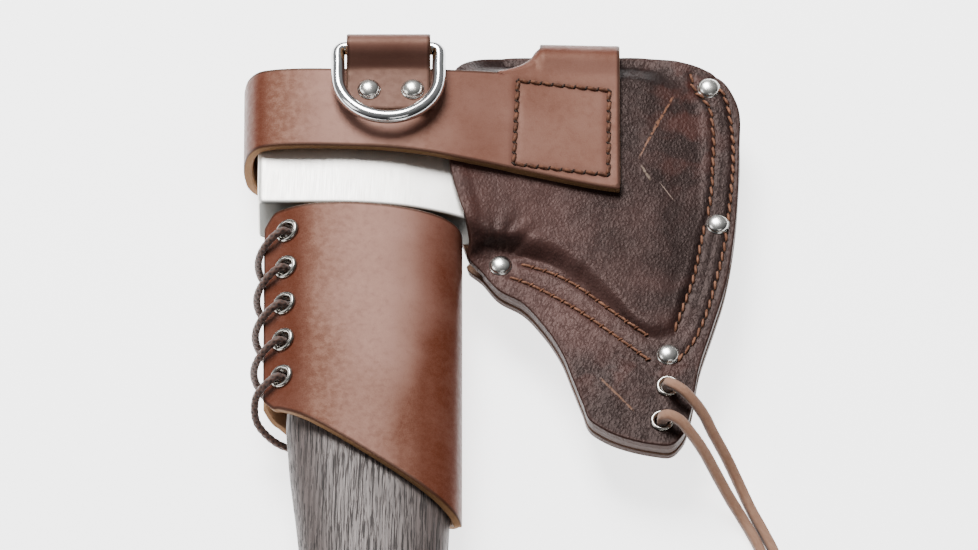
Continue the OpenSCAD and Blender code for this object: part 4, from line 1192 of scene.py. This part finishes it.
# Y and drop in Z of the arm, over the sheath's top and down its back
OVER = [
    [52.3, 0.0], [57, 0.05], [61.6, -0.15], [65.2, -2.7], [67.8, -6.5], [69.3, -9.7], [69.6, -12.5],
    [67.8, -18.1], [64.8, -22.3], [61, -24.3], [54, -24.5], [22, -24.7],
]
FILLET = [
    (83.6, 52.3), (86.6, 53.1), (90, 54.6), (93, 56.2), (95.5, 58.2), (97.2, 60.2), (98.1, 61.7), (98.5, 63),
]
FILLET_ROWS = 9
HINGE_X, HINGE_Z = 8.0, -STRAP_Z
BOX = [[91.2, 49.7], [123.2, 47.2], [122.8, 12], [89.6, 15]]
BOX_SIDES = [(np.array(a, float), np.array(b, float)) for a, b in zip(BOX, BOX[1:] + BOX[:1])]


def box_press(x, y):
    """How near a point is to the line of box stitches, from 0 to 1."""
    near = 99.0
    for a, b in BOX_SIDES:
        t = min(max(np.dot([x - a[0], y - a[1]], b - a) / np.dot(b - a, b - a), 0), 1)
        near = min(near, float(np.linalg.norm(np.array([x, y]) - a - (b - a) * t)))
    return bell(near, 0, 1.1)


def arm_depth(x):
    """The arm's thickness across the sheath gets less towards its right."""
    return 1 - 0.14 * (x - 98.8) / 27.6


def strap_front():
    """The strap's sewn run, its arm over the sheath, and the bend to the poll's middle, as one sheet."""
    path = spaced(smooth(STRAP_FRONT, 10), 1.25)[::-1]
    columns = 26
    points = []
    for x, z, low in path:
        top = STRAP_TOP + (0.8 * float(step(x, 60, 84)) if x < 92 else 0.8)
        for s in np.linspace(0, 1, columns):
            y = low + EASE + (top - low - 2 * EASE) * s
            crown = -0.25 * abs(2 * s - 1) ** 3 * float(step(x, 84, 70)) * (z > 8)
            press = 0.3 * box_press(x, y) if x > 80 else 0
            waves = 0.18 * wobble((x, y, z), 0.05, 2) * float(step(z, 0, 6))
            points.append([x, y, z + crown + waves - press])
    faces = grid(len(path), columns)
    # The arm: columns of the sheet that go on over the top, the fillet at its left among them
    over = spaced(smooth(OVER, 8), 1.2)
    arm = [i for i, p in enumerate(path) if p[0] > FILLET[0][0]]
    base = {}
    for n, i in enumerate(arm):
        x, z, _ = path[i]
        fillet = x < ARM_X
        height = float(np.interp(x, *zip(*FILLET))) - ARM_Y
        base[n, 0] = i * columns + columns - 1
        for k in range(1, FILLET_ROWS + 1 if fillet else len(over)):
            if n == 0:
                base[n, k] = base[n, 0]
                continue
            y, drop = over[k]
            share = float(step(k / len(over), 0, 0.12))
            folded = (z + drop) * (1 - share) + (12.45 + drop) * arm_depth(x) * share
            base[n, k] = len(points)
            points.append([x, ARM_Y + height * k / FILLET_ROWS, z + drop] if fillet else [x, y, folded])
    for n in range(len(arm) - 1):
        for k in range(len(over) - 1):
            ids = [(n, k), (n + 1, k), (n + 1, k + 1), (n, k + 1)]
            corners = list(dict.fromkeys(base[q] for q in ids if q in base))
            if all(q in base for q in ids) and len(corners) > 2:
                faces.append(tuple(corners))
    return np.array(points, float), faces


def at_poll_middle(p):
    return p[0] < 0 and abs(p[2]) < 0.05


points, faces = strap_front()
if face_normals(points, faces)[len(points) // 4, 2] < 0:
    faces = turned(faces)
points, faces, values = thicken(points, faces, STRAP_T, EASE, cut=at_poll_middle)
x, y, z = points.T
# Painted light: darker and redder towards the bend round the poll, on the arm's fold over the sheath's top
# and towards the sewn end, as painted shade, which leaves a painted highlight between.
values["tone"] = np.clip(step(x, 27, 5) + 0.35 * step(y, 58, 64) * (x > 90) + 0.62 * step(x, 36, 62), 0, 1)
values["dark"] = [0.55 * box_press(*p[:2]) if p[2] > 5 and p[0] > 80 else 0 for p in points]
piece("strap_leather_front", (points, faces, values), LEATHER, ("poll_strap", "strap_fold"))
strap_surface = BVHTree.FromPolygons(points.tolist(), faces)


def strap_back():
    """From the poll's middle round its back corner and along the back to the tip, bending at the hinge."""
    path = smooth([[BEND_X, 0], [-3.68, -1.2], [-3.3, -5.4], [-2.1, 6 - STRAP_Z], [0.6, 2.2 - STRAP_Z],
                   [4.2, 0.45 - STRAP_Z], [HINGE_X, HINGE_Z], [16, HINGE_Z], [60, HINGE_Z],
                   [121, HINGE_Z]], 10)
    stations = [[x, z, 1.0] for x, z in spaced(path, 1.2)]
    stations += [[122 + 8.4 * math.sin(a), HINGE_Z, math.cos(a) ** 0.6] for a in arc(8, 88, 8)]
    columns = 22
    points = []
    for x, z, share in stations:
        low, high = STRAP_BOTTOM + float(step(x, 8, 60)), STRAP_TOP - float(step(x, 8, 60))
        half = (high - low) / 2 * share - EASE * min(1, share + 0.3)
        points += [[x, (low + high) / 2 + half * s, z] for s in np.linspace(-1, 1, columns)]
    return np.array(points), turned(grid(len(stations), columns))


points, faces, values = thicken(*strap_back(), STRAP_T, EASE, cut=at_poll_middle)
x = points[:, 0]
# Painted light: darker and redder towards the bend and towards the tip as painted shade, as on the strap's
# front.
values.update(tone=np.clip(step(x, 27, 5) + 0.56 * step(x, 36, 62), 0, 1), dark=0 * x)
flap = piece("strap_leather_flap", (points, faces, values), LEATHER, ("strap_flap",), ride=False)
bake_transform(flap)


# ---- Box stitch and the seam on the arm's back ----

def on_strap(p, side=1, sunk=0.0):
    return [*p, height_at(strap_surface, side, *p, 12) - sunk]


parts = []
for a, b in BOX_SIDES:
    count = int(round(np.linalg.norm(b - a) / 4.2))
    along = unit(b - a)
    across = np.array([-along[1], along[0]])
    for i in range(count):
        s = a + (b - a) * (i + 0.08) / count + across * 0.35
        e = a + (b - a) * (i + 0.92) / count - across * 0.35
        parts.append(stitch_tube(on_strap(s, 1, 0.1), on_strap(e, 1, 0.1), UP, 0.78, 0.3))
        # Dark slot at each hole: painted shade of the awl hole.
        parts.append(awl_hole_shade(on_strap(a + (b - a) * i / count), 0.8 * along + across, UP, 1.35, 0.5))
piece("box_stitches", join(parts), BOX_THREAD, ("strap_box_thread",))

parts = []
for y in (24.5, 46.5):
    for x in 103.8 + 4.4 * np.arange(5):
        ends = [on_strap((x - way * 1.8, y + way * 0.3), -1) for way in (1, -1)]
        parts.append(stitch_tube(*ends, (0, 0, -1), 0.46, 0.22))
piece("arm_back_stitches", join(parts), BOX_THREAD, ("fold_seam_thread",))


# ---- Keeper, its rivets and the D-ring ----

KEEPER_MIDDLE, KEEPER_HALF, KEEPER_T = 45.7, 14.7, 2.5
BAR_Y, WIRE_R = 58.5, 2.4
BAR_Z = STRAP_FACE + WIRE_R + 0.2
LOOP_R = WIRE_R + 0.08 + KEEPER_T / 2
front_z, back_z = STRAP_FACE + 0.1 + KEEPER_T / 2, STRAP_Z - STRAP_T / 2 - 0.1 - KEEPER_T / 2
keeper_line = [[34.5, front_z + 0.05], [40, front_z], [46, front_z + 0.05], [50.5, front_z + 0.5],
               [53.6, front_z + 2.1]]
keeper_line += [[BAR_Y + LOOP_R * math.cos(a), BAR_Z + LOOP_R * math.sin(a)] for a in arc(110, -101, -15)]
keeper_line = smooth(keeper_line + [[55.2, back_z + 1.4], [51, back_z], [44, back_z], [34.5, back_z]], 5)
columns = 22
points = []
for y, z in keeper_line:
    for v in np.linspace(-1, 1, columns):
        bow = -0.9 * (1 - v * v) * float(step(y, 40, 34.5))
        dip = 0.35 * float(bell(y, 51.5, 3)) * (z > front_z - 1) * (1 - v * v)
        points.append([KEEPER_MIDDLE + v * (KEEPER_HALF - 0.5), y + bow, z - dip])
points, faces, values = thicken(points, turned(grid(len(keeper_line), columns)), KEEPER_T, 0.5)
x, y, z = points.T
# The keeper is darker leather; on it a lighter, redder band on the roll over the bar is a painted highlight
# and a darker dip below the roll is painted shade.
values["tone"] = np.clip(0.2 + 0.3 * bell(y, 58, 5), 0, 1)
values["dark"] = np.clip(0.66 - 0.3 * bell(y, 60, 5) + 0.22 * bell(y, 51.5, 3.4) * (z > 17), 0, 1)
piece("ring_keeper_leather", outward((points, faces, values)), LEATHER, ("ring_keeper",))

parts = []
for x in (38.9, 54.2):
    parts.append(dome(8.2, 2.5, (x, 41.3, STRAP_FACE + 0.1 + KEEPER_T - 0.05), UP))
    parts.append(dome(7.2, 0.6, (x, 41.3, back_z - KEEPER_T / 2 + 0.02), (0, 0, -1), flange=0.3))
metal_piece("keeper_rivet_caps", parts, NICKEL, "keeper_rivets")

RING_R, RING_LEG, RING_CORNER, RING_LIFT = 17.7, 13.3, 2.6, math.radians(6.5)
ring_line = [[0, 0], [-12, 0], [RING_CORNER - RING_R, 0]]
ring_line += [[RING_CORNER * (1 - math.sin(a)) - RING_R, RING_CORNER * (math.cos(a) - 1)]
              for a in arc(25, 76, 25)]
ring_line += [[-RING_R, -RING_CORNER], [-RING_R, -8], [-RING_R, -RING_LEG]]
ring_line += [[-RING_R * math.cos(a), -RING_LEG - RING_R * math.sin(a)] for a in arc(12, 180, 12)]
ring_line = smooth(ring_line + [[-x, y] for x, y in reversed(ring_line[1:9])], 5, closed=True)
lean = np.array([0, math.cos(RING_LIFT), -math.sin(RING_LIFT)])
up = np.array([0, math.sin(RING_LIFT), math.cos(RING_LIFT)])
ring_line = ring_line[:, :1] * [1, 0, 0] + ring_line[:, 1:] * lean + [KEEPER_MIDDLE, BAR_Y, BAR_Z]
tangent = unit(np.roll(ring_line, -1, axis=0) - np.roll(ring_line, 1, axis=0))
angles = circle(28)[:, None]
rings = [p + WIRE_R * (np.cos(angles) * up + np.sin(angles) * np.cross(t, up))
         for p, t in zip(ring_line, tangent)]
part = np.concatenate(rings), ring_faces(len(ring_line), 28, closed=True), {}
piece("d_ring_wire", outward(part), CHROME, ("d_ring",), body="ring")


# ---- Snap fastener on the back ----

SNAP = (113.0, 35.0)
fold_face = -12.2 * arm_depth(SNAP[0]) - 1.5
flap_inner = HINGE_Z + STRAP_T / 2
stud = [(2.2, flap_inner + 0.35), (2.5, flap_inner + 0.7), (2.35, fold_face - 1.4), (2.3, fold_face - 0.9),
        (3.8, fold_face - 0.85), (4.0, fold_face - 0.6), (3.9, fold_face - 0.3), (1.6, fold_face - 0.25)]
metal_piece("snap_stud_nickel", [lathe(stud, (*SNAP, 0))], NICKEL, "snap_stud", 50)
post = [(1.6, 0), (1.6, STRAP_T + 0.5), (3.8, STRAP_T + 0.55), (4, STRAP_T + 0.8), (3.6, STRAP_T + 1.1),
        (0.2, STRAP_T + 1.15)]
metal_piece("snap_post_nickel", [lathe(post, (*SNAP, fold_face - 0.3))], NICKEL, "snap_post", 50)
cap = dome(14, 1.8, (*SNAP, HINGE_Z - STRAP_T / 2), (0, 0, -1), flange=0.45)
metal_piece("snap_cap_nickel", [cap], NICKEL, "snap_cap", 60, "flap")
depth = fold_face - 1.2 - flap_inner
socket = [(2.9, depth), (2.9, 0.2), (1.0, 0.2), (1.0, -0.1), (5.5, -0.1), (5.6, 0.1), (5.4, 0.35), (4.2, 0.5),
          (3.9, depth * 0.9), (3.5, depth)]
part = lathe(socket, (*SNAP, flap_inner), closed=True)
metal_piece("snap_socket_nickel", [part], NICKEL, "snap_socket", 50, "flap")


# ---- Floor, light and world ----

floor_mesh = bpy.data.meshes.new("floor")
floor_mesh.from_pydata([(-40, -40, 0), (40, -40, 0), (40, 40, 0), (-40, 40, 0)], [], [(0, 1, 2, 3)])
floor_mesh.materials.append(floor_paper())
floor = show("floor", floor_mesh)


def softbox(name, spot, size, power):
    """A lamp of this size in metres at the spot, turned to the hatchet's head."""
    data = bpy.data.lights.new(name, "AREA")
    data.shape, data.size, data.size_y, data.energy = "RECTANGLE", *size, power
    lamp = show(name, data)
    lamp.location = spot
    lamp.rotation_euler = (Vector((0, 0.1, 0)) - Vector(spot)).to_track_quat("-Z", "Y").to_euler()


softbox("key_behind", (-0.3, 1.05, 1.4), (0.75, 0.95), 62)
softbox("fill_left", (-1.4, -0.1, 0.9), (0.7, 0.7), 6)
softbox("fill_front", (0.5, -1.3, 1.2), (0.9, 0.5), 2.5)

# The sky is brighter behind and above
world = bpy.data.worlds.new("studio")
bpy.context.scene.world = world
world.use_nodes = True
sky = world.node_tree
sky_at = sky.nodes.new("ShaderNodeTexCoord")
facing = sky.nodes.new("ShaderNodeVectorMath")
facing.operation = "DOT_PRODUCT"
facing.inputs[1].default_value = (-0.35, 0.72, 0.6)
ramp = sky.nodes.new("ShaderNodeMapRange")
ramp.interpolation_type = "SMOOTHSTEP"
for key, value in {"From Min": -0.35, "From Max": 0.95, "To Min": 0.05, "To Max": 0.36}.items():
    ramp.inputs[key].default_value = value
sky.links.new(sky_at.outputs["Generated"], facing.inputs[0])
sky.links.new(facing.outputs["Value"], ramp.inputs["Value"])
sky.links.new(ramp.outputs[0], sky.nodes["Background"].inputs["Strength"])
sky.nodes["Background"].inputs["Color"].default_value = (0.97, 0.985, 1.0, 1)
